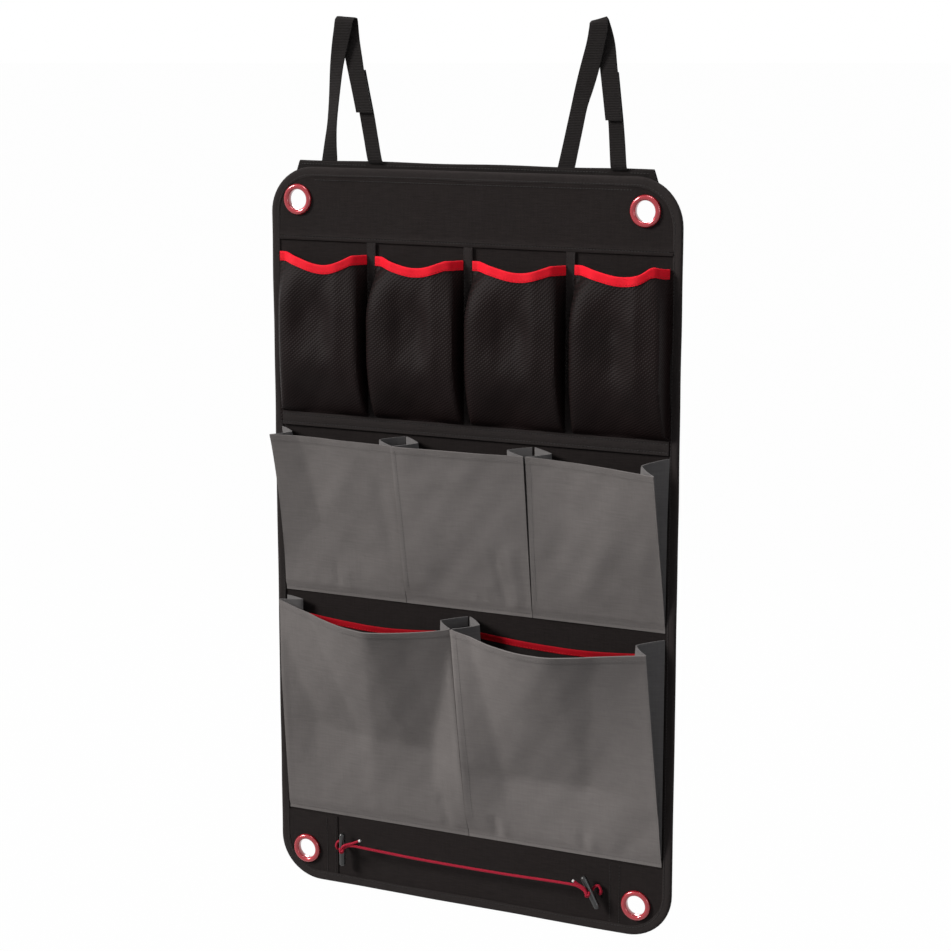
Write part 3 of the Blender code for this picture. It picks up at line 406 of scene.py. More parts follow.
def swept(name, rings, material, closed=False, smooth=50):
    """A closed skin over rings of points, capped at both ends unless the path closes."""
    rings = np.asarray(rings, float)
    n, m = rings.shape[:2]
    faces = []
    for i in range(n if closed else n - 1):
        faces += band(i * m, (i + 1) % n * m, m)
    if not closed:
        faces += [tuple(range(m)), tuple(range((n - 1) * m, n * m))]
    return make(name, rings.reshape(-1, 3), faces, material, smooth)


def tube_rings(path, radius, sides=12, closed=False):
    path = np.asarray(path, float)
    along = np.roll(path, -1, axis=0) - np.roll(path, 1, axis=0) if closed else np.gradient(path, axis=0)
    along /= np.linalg.norm(along, axis=1, keepdims=True)
    aside = np.cross(along[0], (0.31, 0.17, 0.94))
    turn = turns(sides)[:, None]
    rings = []
    for point, way in zip(path, along):
        aside = aside - way * np.dot(aside, way)
        aside /= np.linalg.norm(aside)
        rings.append(point + radius * (np.cos(turn) * aside + np.sin(turn) * np.cross(way, aside)))
    return rings


def flowing(points, count):
    """A smooth line through the points, as count evenly spaced points."""
    points = np.asarray(points, float)
    padded = np.vstack([2 * points[0] - points[1], points, 2 * points[-1] - points[-2]])
    out = []
    for k in range(len(points) - 1):
        p0, p1, p2, p3 = padded[k:k + 4]
        for t in np.linspace(0, 1, 12, endpoint=False):
            out.append(0.5 * (2 * p1 + (p2 - p0) * t + (2 * p0 - 5 * p1 + 4 * p2 - p3) * t ** 2
                              + (3 * p1 - p0 - 3 * p2 + p3) * t ** 3))
    out = np.array(out + [points[-1]])
    run = run_along(out)
    even = np.linspace(0, run[-1], count)
    return np.stack([np.interp(even, run, out[:, k]) for k in range(out.shape[1])], axis=1)


def stitches(name, lines, material, radius=STITCH_R):
    """Sewn threads along lines of surface points, each line with its outward direction in Y."""
    verts, faces, sides = [], [], 6
    for path, outward in lines:
        run = run_along(path)
        for k in range(max(0, int((run[-1] - STITCH_L) / STITCH_PITCH) + 1)):
            start, end = (np.array([np.interp(k * STITCH_PITCH + d, run, path[:, c]) for c in range(3)])
                          for d in (0, STITCH_L))
            way = (end - start) / np.linalg.norm(end - start)
            out = np.array((0.0, outward, 0.0))
            out = out - way * np.dot(out, way)
            out /= np.linalg.norm(out)
            aside = np.cross(way, out)
            first = len(verts)
            for share, size in ((0.0, 0.35), (0.16, 1.0), (0.84, 1.0), (1.0, 0.35)):
                centre = start + (end - start) * share + out * radius * (size - 0.65)
                for angle in TAU * np.arange(sides) / sides:
                    verts.append(centre + radius * size * (math.cos(angle) * aside + math.sin(angle) * out))
            for ring in range(first, first + 3 * sides, sides):
                faces += band(ring, ring + sides, sides)
            faces += [tuple(range(cap, cap + sides)) for cap in (first, first + 3 * sides)]
    return make(name, verts, faces, material, 80)


def on_body(ob, body, slot, *nodes):
    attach(ob, body)
    if nodes:
        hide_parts(*nodes)
    return ob


def on_panel(ob, slot, *nodes):
    return on_body(ob, "panel", slot, *nodes)


def sewn_on(name, lines, thread, slot, radius=STITCH_R):
    """Stitches that ride on the panel."""
    return on_panel(stitches(name, lines, thread, radius), slot)


def sewn_cloth(name, node, grid, thickness, material, slot, sewing, lines, holes=()):
    """A cloth on the panel with its holes and its own stitches."""
    piece = cloth(name, grid, thickness, material)
    cut_holes(piece, holes)
    on_panel(piece, slot, node)
    sewn = sewn_on(sewing, lines, BLACK_THREAD, slot)


def spans(grid):
    """The longest run of the grid's columns and of its rows, which is what the cloth is cut to."""
    return tuple(float(np.linalg.norm(np.diff(grid, axis=k), axis=2).sum(axis=k).max()) for k in (0, 1))


def cut_holes(ob, holes):
    """Cuts round holes through the cloth, each (x, z, radius)."""
    turn = turns(48)
    for x, z, radius in holes:
        ends = [stacked(x + radius * np.cos(turn), y, z + radius * np.sin(turn)) for y in (-0.02, 0.02)]
        cutter = swept("cutter", ends, ob.data.materials[0])
        cut = ob.modifiers.new("hole", "BOOLEAN")
        cut.operation, cut.solver, cut.object = "DIFFERENCE", "EXACT", cutter
        bpy.context.view_layer.update()
        done = bpy.data.meshes.new_from_object(ob.evaluated_get(bpy.context.evaluated_depsgraph_get()))
        ob.modifiers.clear()
        ob.data = done
        bpy.data.objects.remove(cutter)


# Back panel with what lies flat on it

def half_width(z, inset):
    """Half of the panel's width at a height, inside its rounded corners."""
    radius = CORNER_R - inset
    over = np.clip(np.maximum(z - (PANEL_TOP - CORNER_R), (PANEL_BOTTOM + CORNER_R) - z), 0, radius)
    return PANEL_W / 2 - inset - radius + np.sqrt(np.maximum(radius ** 2 - over ** 2, 0))


def panel_rows(z_low, z_high, inset, step=0.011):
    """Heights between two limits, closer together at the rounded corners."""
    turn = np.sin(np.linspace(0, math.pi / 2, 10)) * (CORNER_R - inset)
    straight = np.linspace(PANEL_BOTTOM + CORNER_R, PANEL_TOP - CORNER_R,
                           int((PANEL_H - 2 * CORNER_R) / step))
    rows = np.concatenate([PANEL_BOTTOM + CORNER_R - turn, straight, PANEL_TOP - CORNER_R + turn,
                           [z_low, z_high]])
    return np.unique(np.round(rows[(rows >= z_low - 1e-9) & (rows <= z_high + 1e-9)], 6))


def flat_layer(rows, inset, y, columns, x_low=-1.0, x_high=1.0):
    """A grid on the panel between two rows, as wide as the panel or between two sides."""
    half = half_width(rows, inset)
    x = np.linspace(np.maximum(x_low, -half), np.minimum(x_high, half), columns, axis=1)
    return stacked(x, y + panel_wave(x, rows[:, None]), rows[:, None])


def outline(inset, step=0.006):
    """Points round the panel's edge with the directions that point inwards."""
    corners = [(sign * (PANEL_W / 2 - CORNER_R), z) for sign, z in (
        (1, PANEL_TOP - CORNER_R), (-1, PANEL_TOP - CORNER_R), (-1, PANEL_BOTTOM + CORNER_R),
        (1, PANEL_BOTTOM + CORNER_R))]
    points, inward = [], []
    for quarter, (x, z) in enumerate(corners):
        for angle in np.linspace(quarter, quarter + 1, 15) * math.pi / 2:
            out = np.array((math.cos(angle), 0.0, math.sin(angle)))
            points.append(np.array((x, 0.0, z)) + CORNER_R * out)
            inward.append(-out)
        next_x, next_z = corners[(quarter + 1) % 4]
        start, end = points[-1], np.array((next_x, 0.0, next_z)) + CORNER_R * out
        count = int(np.linalg.norm(end - start) / step)
        for share in np.linspace(0, 1, count)[1:-1]:
            points.append(start + (end - start) * share)
            inward.append(-out)
    points, inward = np.array(points), np.array(inward)
    return points + inward * inset, inward


def build_panel():
    rows = panel_rows(PANEL_BOTTOM + 0.0002, PANEL_TOP - 0.0002, 0.0002)
    panel = cloth("panel_cloth", flat_layer(rows, 0.0002, PANEL_T / 2, 45), PANEL_T, BLACK)
    cut_holes(panel, [*EYELET_HOLES.values()] + [(x, z, CORD_R + GAP) for x, z in HOLE.values()])
    on_panel(panel, "black_fabric", "back_panel")


def build_binding():
    """The tape folded round the panel's rim, a little uneven, sewn through from both faces."""
    points, inward = outline(0.0)
    run = run_along(points)
    rings = []
    for point, way, place in zip(points, inward, run):
        edge = BINDING_W + 0.0004 * math.sin(place * 31) + 0.0002 * math.sin(place * 97 + 1)
        swell = 0.00012 * math.sin(place * 190) + 0.0001 * math.sin(place * 61 + 2)
        wave = float(panel_wave(point[0], point[2]))
        profile = [
            (edge, -0.00035), (edge, -0.0011), (edge - 0.0006, -0.0014 - swell), (edge - 0.0018, -0.0012),
            (edge - 0.004, -0.0016 - swell), (0.0024, -0.0018 - swell), (0.0006, -0.0016),
            (-0.0006, -0.001), (-0.001, PANEL_T / 2), (-0.0006, PANEL_T + 0.001),
            (0.0006, PANEL_T + 0.0016), (0.0024, PANEL_T + 0.0018), (edge - 0.0018, PANEL_T + 0.0012),
            (edge - 0.0006, PANEL_T + 0.0014), (edge, PANEL_T + 0.0011), (edge, PANEL_T + 0.00035),
            (0.0001, PANEL_T + 0.0003), (0.0001, -0.0003),
        ]
        rings.append([point + way * d + np.array((0, y + wave, 0)) for d, y in profile])
    binding = on_panel(swept("binding", rings, TAPE, closed=True, smooth=65), "black_tape", "edge_binding")
    lines = []
    for y, out in ((-0.0012, -1), (PANEL_T + 0.0012, 1)):
        path = outline(BINDING_W - 0.0018)[0]
        path = np.vstack([path, path[:1]])
        path[:, 1] = y + panel_wave(path[:, 0], path[:, 2])
        lines.append((path, out))
    sewn = sewn_on("binding_stitches", lines, BLACK_THREAD, "black_tape")


def on_wave(x, z, y):
    """A sewn line on the panel's front face."""
    return stacked(x, y + panel_wave(x, z), z), -1


def build_header():
    """The facing above the pockets, with its lower edge turned under and sewn."""
    turned = HEADER_Z + np.array([0.0008, 0.0016, 0.0026, 0.0034, 0.0042, 0.0052])
    rows = np.unique(np.concatenate([
        panel_rows(HEADER_Z, PANEL_TOP - FACING_INSET, FACING_INSET, 0.006), turned]))
    grid = flat_layer(rows, FACING_INSET, -0.00065, 45)
    above = rows - HEADER_Z
    thick = FACING_T + 0.0009 * (1 - rise(0.0042, 0.0056, above)) - 0.0007 * bell(above, 0.0034, 0.0007)
    grid[..., 1] -= (thick[:, None] - FACING_T) / 2
    x = np.linspace(-0.222, 0.222, 60)
    lower = (stacked(x, -0.0012 + panel_wave(x, HEADER_Z), HEADER_Z + 0.0034), -1)
    upper = on_wave(np.linspace(-0.18, 0.18, 60), PANEL_TOP - 0.0125, -0.00105)
    sewn_cloth("header_cloth", "header_facing", grid, thick[:, None], BLACK, "black_fabric",
               "header_stitches", [lower, upper], [EYELET_HOLES["top_left"], EYELET_HOLES["top_right"]])


def build_patches():
    """The facings at the two lower corners."""
    inner = PANEL_W / 2 - PATCH_W
    rows = panel_rows(PANEL_BOTTOM + FACING_INSET, PATCH_TOP, FACING_INSET, 0.006)
    z = np.linspace(PANEL_BOTTOM + 0.01, PATCH_TOP - 0.002, 30)
    for side, sign, limits in (("left", -1, (-1.0, -inner)), ("right", 1, (inner, 1.0))):
        grid = flat_layer(rows, FACING_INSET, -0.00065, 16, *limits)
        lines = [on_wave(sign * (inner + offset), z, -0.001) for offset in (0.0025, 0.013)]
        sewn_cloth("corner_cloth_" + side, "corner_patch_" + side, grid, FACING_T, BLACK, "black_fabric",
                   "corner_stitches_" + side, lines, [EYELET_HOLES["bottom_" + side]])


def build_eyelets():
    """Each eyelet is a rolled ring of lacquered metal with a barrel and a lip over its washer."""
    seat = -0.0015
    middle, half = (EYELET_R + EYELET_BORE) / 2, (EYELET_R - EYELET_BORE) / 2
    profile = [(middle + half * math.cos(angle), seat - 0.0031 * math.sin(angle) ** 0.85)
               for angle in np.linspace(0, math.pi, 15)]
    profile += [(EYELET_BORE, 0.0006), (EYELET_BORE + 0.0002, 0.003), (EYELET_BORE + 0.001, 0.0038),
                (0.0132, 0.0038), (0.0138, 0.0034), (0.0138, 0.003), (0.0122, 0.003), (0.0114, 0.0024),
                (0.0114, seat + 0.0002), (0.016, seat + 0.0006)]
    for name, (x, z) in EYELETS.items():
        wave = float(panel_wave(x, z))
        rings = [[(x + r * math.cos(angle), y + wave, z + r * math.sin(angle)) for r, y in profile]
                 for angle in turns(72)]
        on_panel(swept("ring_" + name, rings, ENAMEL, closed=True, smooth=45), "red_metal", "eyelet_" + name)


def build_sleeve():
    """The sleeve behind the top edge, folded round its batten. Its seam is broken at the tabs."""
    depth, shoulder = 0.0016, SLEEVE_TOP - 0.0022
    profile = [(-depth, z) for z in np.linspace(SLEEVE_BOTTOM, shoulder, 8)]
    profile += [(depth * math.cos(angle), SLEEVE_TOP - 0.0019 + 0.0017 * math.sin(angle))
                for angle in np.linspace(math.pi, 0, 9)[1:-1]]
    profile += [(depth, z) for z in np.linspace(shoulder, SLEEVE_BOTTOM, 8)]
    y, z = np.array(profile).T
    share = np.linspace(-1, 1, 60)[:, None]
    half = SLEEVE_HALF_W + SLEEVE_FLARE * np.minimum(1.0, (SLEEVE_TOP - z) / (SLEEVE_TOP - SLEEVE_BOTTOM))
    sag = 0.0006 * np.sin(share * 9) * (z > -0.15)
    grid = stacked(share * half, SLEEVE_Y + y, z + sag * 0.6 - 0.0002)
    lines = [(stacked(np.linspace(start, end, 30), SLEEVE_Y + side * 0.002, SLEEVE_SEAM_Z), side)
             for start, end in SLEEVE_SEAMS for side in (-1, 1)]
    sewn_cloth("sleeve_cloth", "hanging_sleeve", grid, LINING_T, SLEEVE, "black_fabric", "sleeve_stitches",
               lines)


# Straps, in millimetres. In front, each station is z, the left and the right edge's x, and how far
# each edge is twisted out in y. Over the top it is both edges' (x, y, z). Behind, and on the tab, it
# is z with both edges' x.

STRAP_FRONT = {
    "left": [(-146.5, -174.6, -156.4, 0, 0), (-143.7, -173.8, -155.9, 0, 0),
             (-125, -170.6, -155.2, 1.5, -1.5), (-105, -167.1, -152.9, 3.0, -3.5),
             (-79, -163.9, -149.1, 3.0, -3.0), (-47.6, -160.4, -143.9, 1.5, -1.5),
             (-25, -156.6, -138.0, 0, 0), (-8, -153.4, -132.9, 0, 0)],
    "right": [(-146.5, 96.2, 114.6, 0, 0), (-143.7, 96.9, 115.3, 0, 0), (-125, 101.7, 119.9, 0.5, -0.5),
              (-105, 106.8, 124.7, 0.5, -0.5), (-84.3, 112.1, 129.8, 0.5, -0.5),
              (-65, 117.1, 136.8, 0, 0), (-45.4, 122.6, 143.2, 0, 0), (-21.8, 129.8, 149.4, 0, 0),
              (-7, 132.9, 152.3, 0, 0)],
}
STRAP_OVER = {
    "left": [((-151.9, -3.4, 1.6), (-131.0, -3.4, 0.2)), ((-151.0, -1.2, 4.0), (-129.6, -1.2, 2.6)),
             ((-150.2, 1.4, 4.2), (-129.0, 1.4, 2.4)), ((-149.6, 3.6, 1.4), (-129.2, 3.6, -1.0))],
    "right": [((133.5, -3.6, -2.6), (152.0, -3.6, 0.6)), ((134.2, -1.2, -0.9), (150.6, -1.2, 3.0)),
              ((135.0, 1.4, -0.7), (149.4, 1.4, 3.4)), ((135.8, 3.6, -2.6), (150.6, 3.6, 0.6))],
}
STRAP_REAR = {
    "left": [(-20, -147.0, -126.9), (-39.7, -142.8, -123.2), (-53.2, -139.4, -120.7),
             (-73, -134.3, -115.8), (-92.9, -129.4, -111.0), (-93.6, -129.2, -110.9)],
    "right": [(-20.2, 138.6, 157.3), (-45.4, 142.6, 161.0), (-69, 146.2, 164.3), (-90, 149.3, 166.8),
              (-96.2, 150.3, 167.4), (-96.9, 150.4, 167.5)],
}
TABS = {
    "left": [(-146.0, -116.1, -99.7), (-142.5, -116.9, -100.4), (-118, -122.3, -105.8),
             (-94.8, -127.4, -110.7), (-70, -133.2, -116.7), (-50, -137.9, -121.4)],
    "right": [(-146.0, 155.9, 172.9), (-142.5, 155.7, 172.6), (-120, 153.7, 170.3), (-97.5, 151.7, 167.7),
              (-70, 147.9, 163.9), (-50, 145.1, 161.1)],
}
MM, PATCH_INSET, PATCH_ROWS = 0.001, 0.7, (-90.0, -79.0, -68.0, -56.5)
TAB_LAYER, HOOK_LAYER = 0.004, 0.00145
STRAP_FOOT, STRAP_RISE, STRAP_Y, STRAP_FORWARD = 143.7, 140.7, 4.65, 8.4
LEG_TOP, LEG_Y, LEG_LEAN = -0.003, 0.00375, 0.0551


def ribbon(name, edges, thickness, material, count):
    """Webbing between two edges, smooth along its length, a little thicker at its edges. Each
    station is the left edge's x, y and z with the right edge's."""
    edges = flowing(edges, count)
    shares = np.linspace(0, 1, 9)
    rim = 1 + 0.18 * (np.abs(shares - 0.5) > 0.4) - 0.35 * (np.abs(shares - 0.5) > 0.49)
    across = shares[None, :, None]
    grid = edges[:, None, :3] * (1 - across) + edges[:, None, 3:] * across
    return cloth(name, grid, thickness * rim[None, :], material, 60), spans(grid)


def leg_y(z):
    """Where the rear leg stands: it comes forwards on its way down to the closing tab."""
    return LEG_Y - (LEG_TOP - z) * LEG_LEAN


def rear_station(z, left, right, offset=0.0):
    y = leg_y(z * MM) + offset
    return left * MM, y, z * MM, right * MM, y, z * MM


def build_straps():
    for side in ("left", "right"):
        stations = []
        for z, left, right, left_y, right_y in STRAP_FRONT[side]:
            y = STRAP_Y - STRAP_FORWARD * min(1.0, max(0.0, (z + STRAP_FOOT) / STRAP_RISE))
            stations.append(np.array((left, y + left_y, z, right, y + right_y, z)) * MM)
        stations += [np.array(a + b) * MM for a, b in STRAP_OVER[side]]
        stations += [rear_station(*station) for station in STRAP_REAR[side]]
        strap, flat = ribbon("webbing_loop_" + side, stations, STRAP_T, WEBBING, 70)
        on_body(strap, "straps", "webbing", "strap_" + side)

        tab = TABS[side]
        (z, left, right), *rest = tab
        stations = [(left * MM, SLEEVE_Y, z * MM, right * MM, SLEEVE_Y, z * MM)]
        stations += [rear_station(*station, TAB_LAYER) for station in rest]
        webbing, flat = ribbon("webbing_tab_" + side, stations, STRAP_T, WEBBING, 30)
        on_body(webbing, "closing_tab_" + side, "webbing", "tab_" + side)

        heights, lefts, rights = np.array(tab).T
        for kind, node, body, under, offset in (
                ("hook", "strap_hook_", "straps", "strap_", HOOK_LAYER),
                ("loop", "tab_loop_", "closing_tab_" + side, "tab_", TAB_LAYER - HOOK_LAYER)):
            stations = [rear_station(z, np.interp(z, heights, lefts) + PATCH_INSET,
                                     np.interp(z, heights, rights) - PATCH_INSET, offset) for z in PATCH_ROWS]
            patch, flat = ribbon(kind + "_patch_" + side, stations, HOOK_T, HOOKS, 12)
            on_body(patch, body, "hook_and_loop", node + side)


# Mesh pockets with their trims and tapes

def wrap(surface, over):
    """Rings of a trim folded over a cloth's top edge. The surface runs from the trim's lower edge
    up to the cloth's top, one column after the other; over is how far the trim stands off."""
    tape = TRIM_TAPE_T
    rings = []
    for column, out in zip(surface, normals_of(surface)):
        up = (column[-1] - column[-2]) / np.linalg.norm(column[-1] - column[-2])
        last = column[-1]
        shares = [0.75] + [1.0] * (len(column) - 1)
        ring = [p + n * (over + tape * share) for p, n, share in zip(column, out, shares)]
        for angle in np.linspace(0, math.pi, 7)[1:-1]:
            ring.append(last + (over + tape) * (math.cos(angle) * out[-1] + math.sin(angle) * up))
        ring += [p - n * (over + tape) for p, n in zip(column[::-1], out[::-1])]
        ring += [p - n * over for p, n in zip(column, out)] + [last + up * over * 0.8]
        ring += [p + n * over for p, n in zip(column[::-1], out[::-1])]
        rings.append(ring)
    return rings


def add_trim(name, number, mouth, thickness, material, width, pocket):
    """A red trim on the mouth of a pocket, with its stitches."""
    rings = wrap(mouth, thickness / 2 + TRIM_GAP)
    trim = on_panel(swept(f"{name}red_trim_{number}", rings, material), "red_tape",
                    f"{name or 'mesh_'}trim_{number}")
    line = mouth[:, 1] + normals_of(mouth)[:, 1] * (thickness / 2 + TRIM_TAPE_T)
    sewn = sewn_on(f"{name}trim_stitches_{number}", [(line, -1)], RED_THREAD, "red_tape", RED_STITCH_R)
    return trim, dict(flat=(width, spans(mouth)[0]), held="stretched", rests_on=[pocket], with_pieces=[sewn])


def mesh_plan(number, s, columns=64):
    """One level of a mesh pocket seen from above: the cloth goes forwards at its seams and
    swells over them, and its mouth is drawn flat against the panel at the left."""
    a, b = MESH_STARTS[number], MESH_ENDS[number]
    swell = math.sin(min(1.0, s / 0.45) * math.pi / 2) ** 0.65
    mouth = max(0.0, (s - 0.63) / 0.37) ** 2.2
    line = []
    for k, (full, drawn) in enumerate(MESH_PLAN):
        lean = MESH_LEANS[number] * min(1.0, full[1] / 0.0165) * (k < PLAN_MIDDLE)
        x = (full[0] * swell + lean * swell) * (1 - mouth) + drawn[0] * mouth
        y = full[1] * swell * (1 - mouth) + drawn[1] * mouth
        seam = a if k < PLAN_MIDDLE else (a + b) / 2 if k == PLAN_MIDDLE else b
        line.append((seam + x, y))
    return flowing(line, columns)


def mesh_surface(number, heights, flanges=True):
    """The cloth of a mesh pocket at shares of its height, from its hem to its top edge."""
    a, b = MESH_STARTS[number], MESH_ENDS[number]
    low, top_edge, rear = MESH_BOTTOM + 0.001, MESH_TOP - 0.0009 + MESH_RISES[number], -GAP - MESH_T / 2
    reach, skew = MESH_SLACKS[number]
    foot, right = MESH_HOLLOWS[number]
    grid = []
    for height in heights:
        s = min(1.0, height * MESH_H / MESH_DRAWN_H)
        plan = mesh_plan(number, s)
        share = np.clip((plan[:, 0] - a) / (b - a), 0, 1)
        slack = np.clip((share - 0.06) / reach, 0, 1) ** skew
        top = top_edge - MESH_SAGS[number] * arch(slack) ** 1.1
        top = top + MESH_KINKS[number] * bell(share, 0.87, 0.07)
        z = low + (top - low) * height
        ridge = 0.0018 * bell(share, 0.74 + 0.08 * (1 - s) ** 2, 0.07) * rise(0.15, 0.5, s)
        across = rise(0.04, 0.4, share) * (1 - rise(right - 0.16, right + 0.16, share))
        hollow = 0.01 * across * rise(foot - 0.2, foot + 0.2, s) * (1 - 0.85 * rise(0.68, 1.04, s))
        hollow = hollow + 0.007 * bell(share, 0.4, 0.4) * bell(s, 0.12, 0.16)
        side = 0.0014 * bell(share, 0.2 + 0.05 * number, 0.07) * bell(s, 0.6, 0.25)
        uneven = wander(plan[:, 0], z, 1.3 + number, 0.075, 0.0007)
        drape = (ridge + side - hollow + uneven) * arch(share)
        out = plan[:, 1] + 0.0018 * rise(0, 0.02, s) + drape
        points = stacked(plan[:, 0], rear - np.maximum(out, 0), z)
        if flanges:
            z = low + (top_edge - low) * height
            points = np.vstack([stacked([a - 0.004, a - 0.0008], rear, z), points,
                                stacked([b + 0.0008, b + 0.004], rear, z)])
        grid.append(points)
    return np.stack(grid, axis=1)


def build_mesh_pockets():
    heights = np.concatenate([np.linspace(0, 0.32, 17)[:-1], np.linspace(0.32, 1, 26)])
    for number in range(4):
        name = f"mesh_pocket_{number + 1}"
        grid = mesh_surface(number, heights)
        flange = stacked(grid[:, :1, 0], -GAP - MESH_T / 2, MESH_BOTTOM - HEM_TAPE_H + 0.004)
        grid = np.concatenate([flange, grid], axis=1)
        pocket = on_panel(cloth(f"knit_pocket_{number + 1}", grid, MESH_T, KNIT), "mesh", name)
        mouth = mesh_surface(number, np.linspace(1 - TRIM_H / MESH_MOUTH_H, 1, 6), False)
        trim, made_up = add_trim("", number + 1, mouth, MESH_T, RED, TRIM_FLAT_W, name)


def build_mesh_tapes():
    """The tapes between the mesh pockets and the one under them, each with two sewn dips."""
    seat, dip, offset = -2 * GAP - MESH_T, 0.0003, 0.0036
    sewn_y = seat - 0.0006
    z = np.linspace(MESH_BOTTOM + GAP, HEADER_Z - GAP, 34)
    for number, x0 in enumerate(DIVIDER_X):
        xx, zz = np.meshgrid(x0 + np.linspace(-DIVIDER_W / 2, DIVIDER_W / 2, 11), z, indexing="ij")
        dips = dip * (bell(xx, x0 - offset, 0.0006) + bell(xx, x0 + offset, 0.0006))
        yy = seat - 0.00045 + dips + wander(xx, zz, 5.0 + number, 0.03, 0.00015)
        sewn_cloth(f"divider_{number + 1}", f"divider_tape_{number + 1}", stacked(xx, yy, zz), TAPE_T, TAPE,
                   "black_tape", f"divider_stitches_{number + 1}",
                   [(stacked(x0 + side * offset, sewn_y, z), -1) for side in (-1, 1)])

    side = PANEL_W / 2 - BINDING_W - GAP
    x = np.linspace(-side, side, 90)
    shares = np.array([0, 0.06, 0.14, 0.2, 0.26, 0.5, 0.72, 0.8, 0.86, 0.94, 1])
    xx, zz = np.meshgrid(x, MESH_BOTTOM - HEM_TAPE_H + HEM_TAPE_H * shares, indexing="ij")
    levels = [MESH_BOTTOM - HEM_TAPE_H * share for share in (0.2, 0.8)]
    dips = dip * (bell(zz, levels[1], 0.0006) + bell(zz, levels[0], 0.0006))
    yy = seat - 0.00045 + dips + wander(xx, zz, 7.7, 0.03, 0.00015)
    sewn_cloth("hem_tape", "mesh_hem_tape", stacked(xx, yy, zz), TAPE_T, TAPE, "black_tape", "hem_stitches",
               [(stacked(x, sewn_y, level), -1) for level in levels])


# Bellows pockets

class Row:
    """A row of grey pockets: how deep each of its side creases stands, how wide the gussets there
    are, where the mouth's corners and the rear edge are, how each mouth sags, how the outer corners
    flare, how each crease bends, and how far two pockets gape apart at it."""

    def __init__(self, name, depths, gussets, tops, back_top, bottom, sags, flares, bends, spreads):
        self.name, self.count, self.depths, self.gussets = name, len(depths) - 1, depths, gussets
        self.tops, self.back_top, self.bottom, self.sags = tops, back_top, bottom, sags
        self.flares, self.bends, self.spreads = flares, bends, spreads
        self.seam = bottom + 0.009
        # A closed front stands off the panel by the two layers of a folded gusset
        self.stand = 2 * (LINING_T + GAP) + GAP + CLOTH_T / 2

    def line(self, k, s=0.0):
        """The side of a pocket in X; the row's outer corners flare a little at the mouth."""
        flare = self.flares[0] if k == 0 else self.flares[1] if k == self.count else 0.0
        return -ROW_W / 2 + ROW_W * k / self.count + flare * s ** 3

    def side(self, number, k, s, clearance):
        """The side edge of one pocket in X: it keeps clear of its line, more so where the two
        pockets there gape apart."""
        inward = 1 if k == number else -1
        return self.line(k, s) + inward * (clearance + self.spreads[k] * np.sqrt(s))

    def crease_y(self, k, s):
        """How far forward the crease at a pocket's side stands, at a share of its height."""
        power, ease = self.bends[k]
        return -self.stand - self.depths[k] * (s ** power - ease * rise(0.6, 1.0, s))


SMALL = Row("small", (0.0245, 0.032, 0.022, 0.043), (0.024, 0.028, 0.026, 0.031),
            (-0.436, -0.436, -0.437, -0.4415), -0.431, -0.612, ((0.0, 1.0, 1.0),) * 3, (-0.0032, 0.002),
            ((1.45, 0.0), (1.0, 0.0), (1.0, 0.0), (1.15, 0.0)), (0.0, 0.0, 0.001, 0.0))
LARGE = Row("large", (0.021, 0.043, 0.052), (0.026, 0.031, 0.034), (-0.62, -0.622, -0.622), -0.619, -0.863,
            ((0.0097, 0.95, 0.75), (0.0084, 0.85, 1.2)), (0.0, 0.0), ((1.0, 0.28), (0.8, 0.0), (1.0, 0.0)),
            (0.0, 0.0006, 0.0))


def small_folds(number, t, s):
    """How a small pocket's cloth stands forward of the plane between its side creases."""
    belly = 0.0028 * arch(t) * arch(s) ** 2
    if number == 0:
        valley = 0.22 + 0.17 * (1 - s)
        step = (0.01 - 0.0035 * s) * np.minimum(1.0, t / valley) * np.minimum(1.0, (1 - t) / (1 - valley))
        out = 0.5 * belly - step
    elif number == 1:
        out = belly + 0.004 * s ** 3 * arch(t ** 0.8)
    else:
        out = belly - 0.006 * s ** 0.6 * arch(t ** 0.8)
    return out * np.minimum(1.0, 4 * s)


# Where a large pocket's slack cloth breaks into flat facets: corners as (share of the width, share
# of the height, how far it stands forward), from left to right along the level crease and then
# round the cloth above it, and the facets between them. A mouth is (slack, where it lies).
LARGE_CREASES = (
    ((0.0, 0.4, 0.0), (0.19, 0.398, -0.01), (0.42, 0.393, -0.0095), (0.5, 0.39, -0.006),
     (0.67, 0.372, -0.009), (0.82, 0.362, -0.0145), (1.0, 0.35, 0.0)),
    ((0.0, 0.29, 0.0), (0.09, 0.29, -0.0045), (0.21, 0.29, -0.0105), (0.63, 0.292, -0.0105),
     (0.77, 0.292, -0.006), (1.0, 0.29, 0.0)),
)
LARGE_UPPERS = (
    ((0.0, 1.0, 0.0), (0.2, 1.0, -0.001), (0.6, 1.0, 0.0149), (0.8, 1.0, 0.0062), (1.0, 1.0, 0.0),
     (0.0, 0.9, 0.0), (1.0, 0.9, 0.0)),
    ((0.0, 1.0, 0.0), (0.11, 1.0, -0.0075), (0.56, 1.0, 0.002), (0.77, 1.0, -0.0031), (1.0, 1.0, 0.0),
     (0.0, 0.95, 0.0), (1.0, 0.97, 0.0), (1.0, 0.56, 0.0)),
)
LARGE_FACETS = (
    ((12, 0, 1), (12, 1, 2), (7, 12, 2), (7, 2, 8), (8, 2, 3), (8, 3, 9), (9, 3, 4), (9, 4, 10), (10, 4, 5),
     (10, 5, 13), (10, 13, 11), (5, 6, 13)),
    ((11, 0, 1), (6, 11, 1), (6, 1, 7), (7, 1, 2), (7, 2, 8), (8, 2, 3), (8, 3, 9), (9, 3, 12), (9, 12, 10),
     (3, 4, 13), (3, 13, 12), (4, 5, 13)),
)
LARGE_MOUTHS = ((0.0215, 1.13), (0.0285, 0.88))
FIELD_SIZE, FIELD_SOFTNESS, FIELD_REACH = 141, 1.5, 6


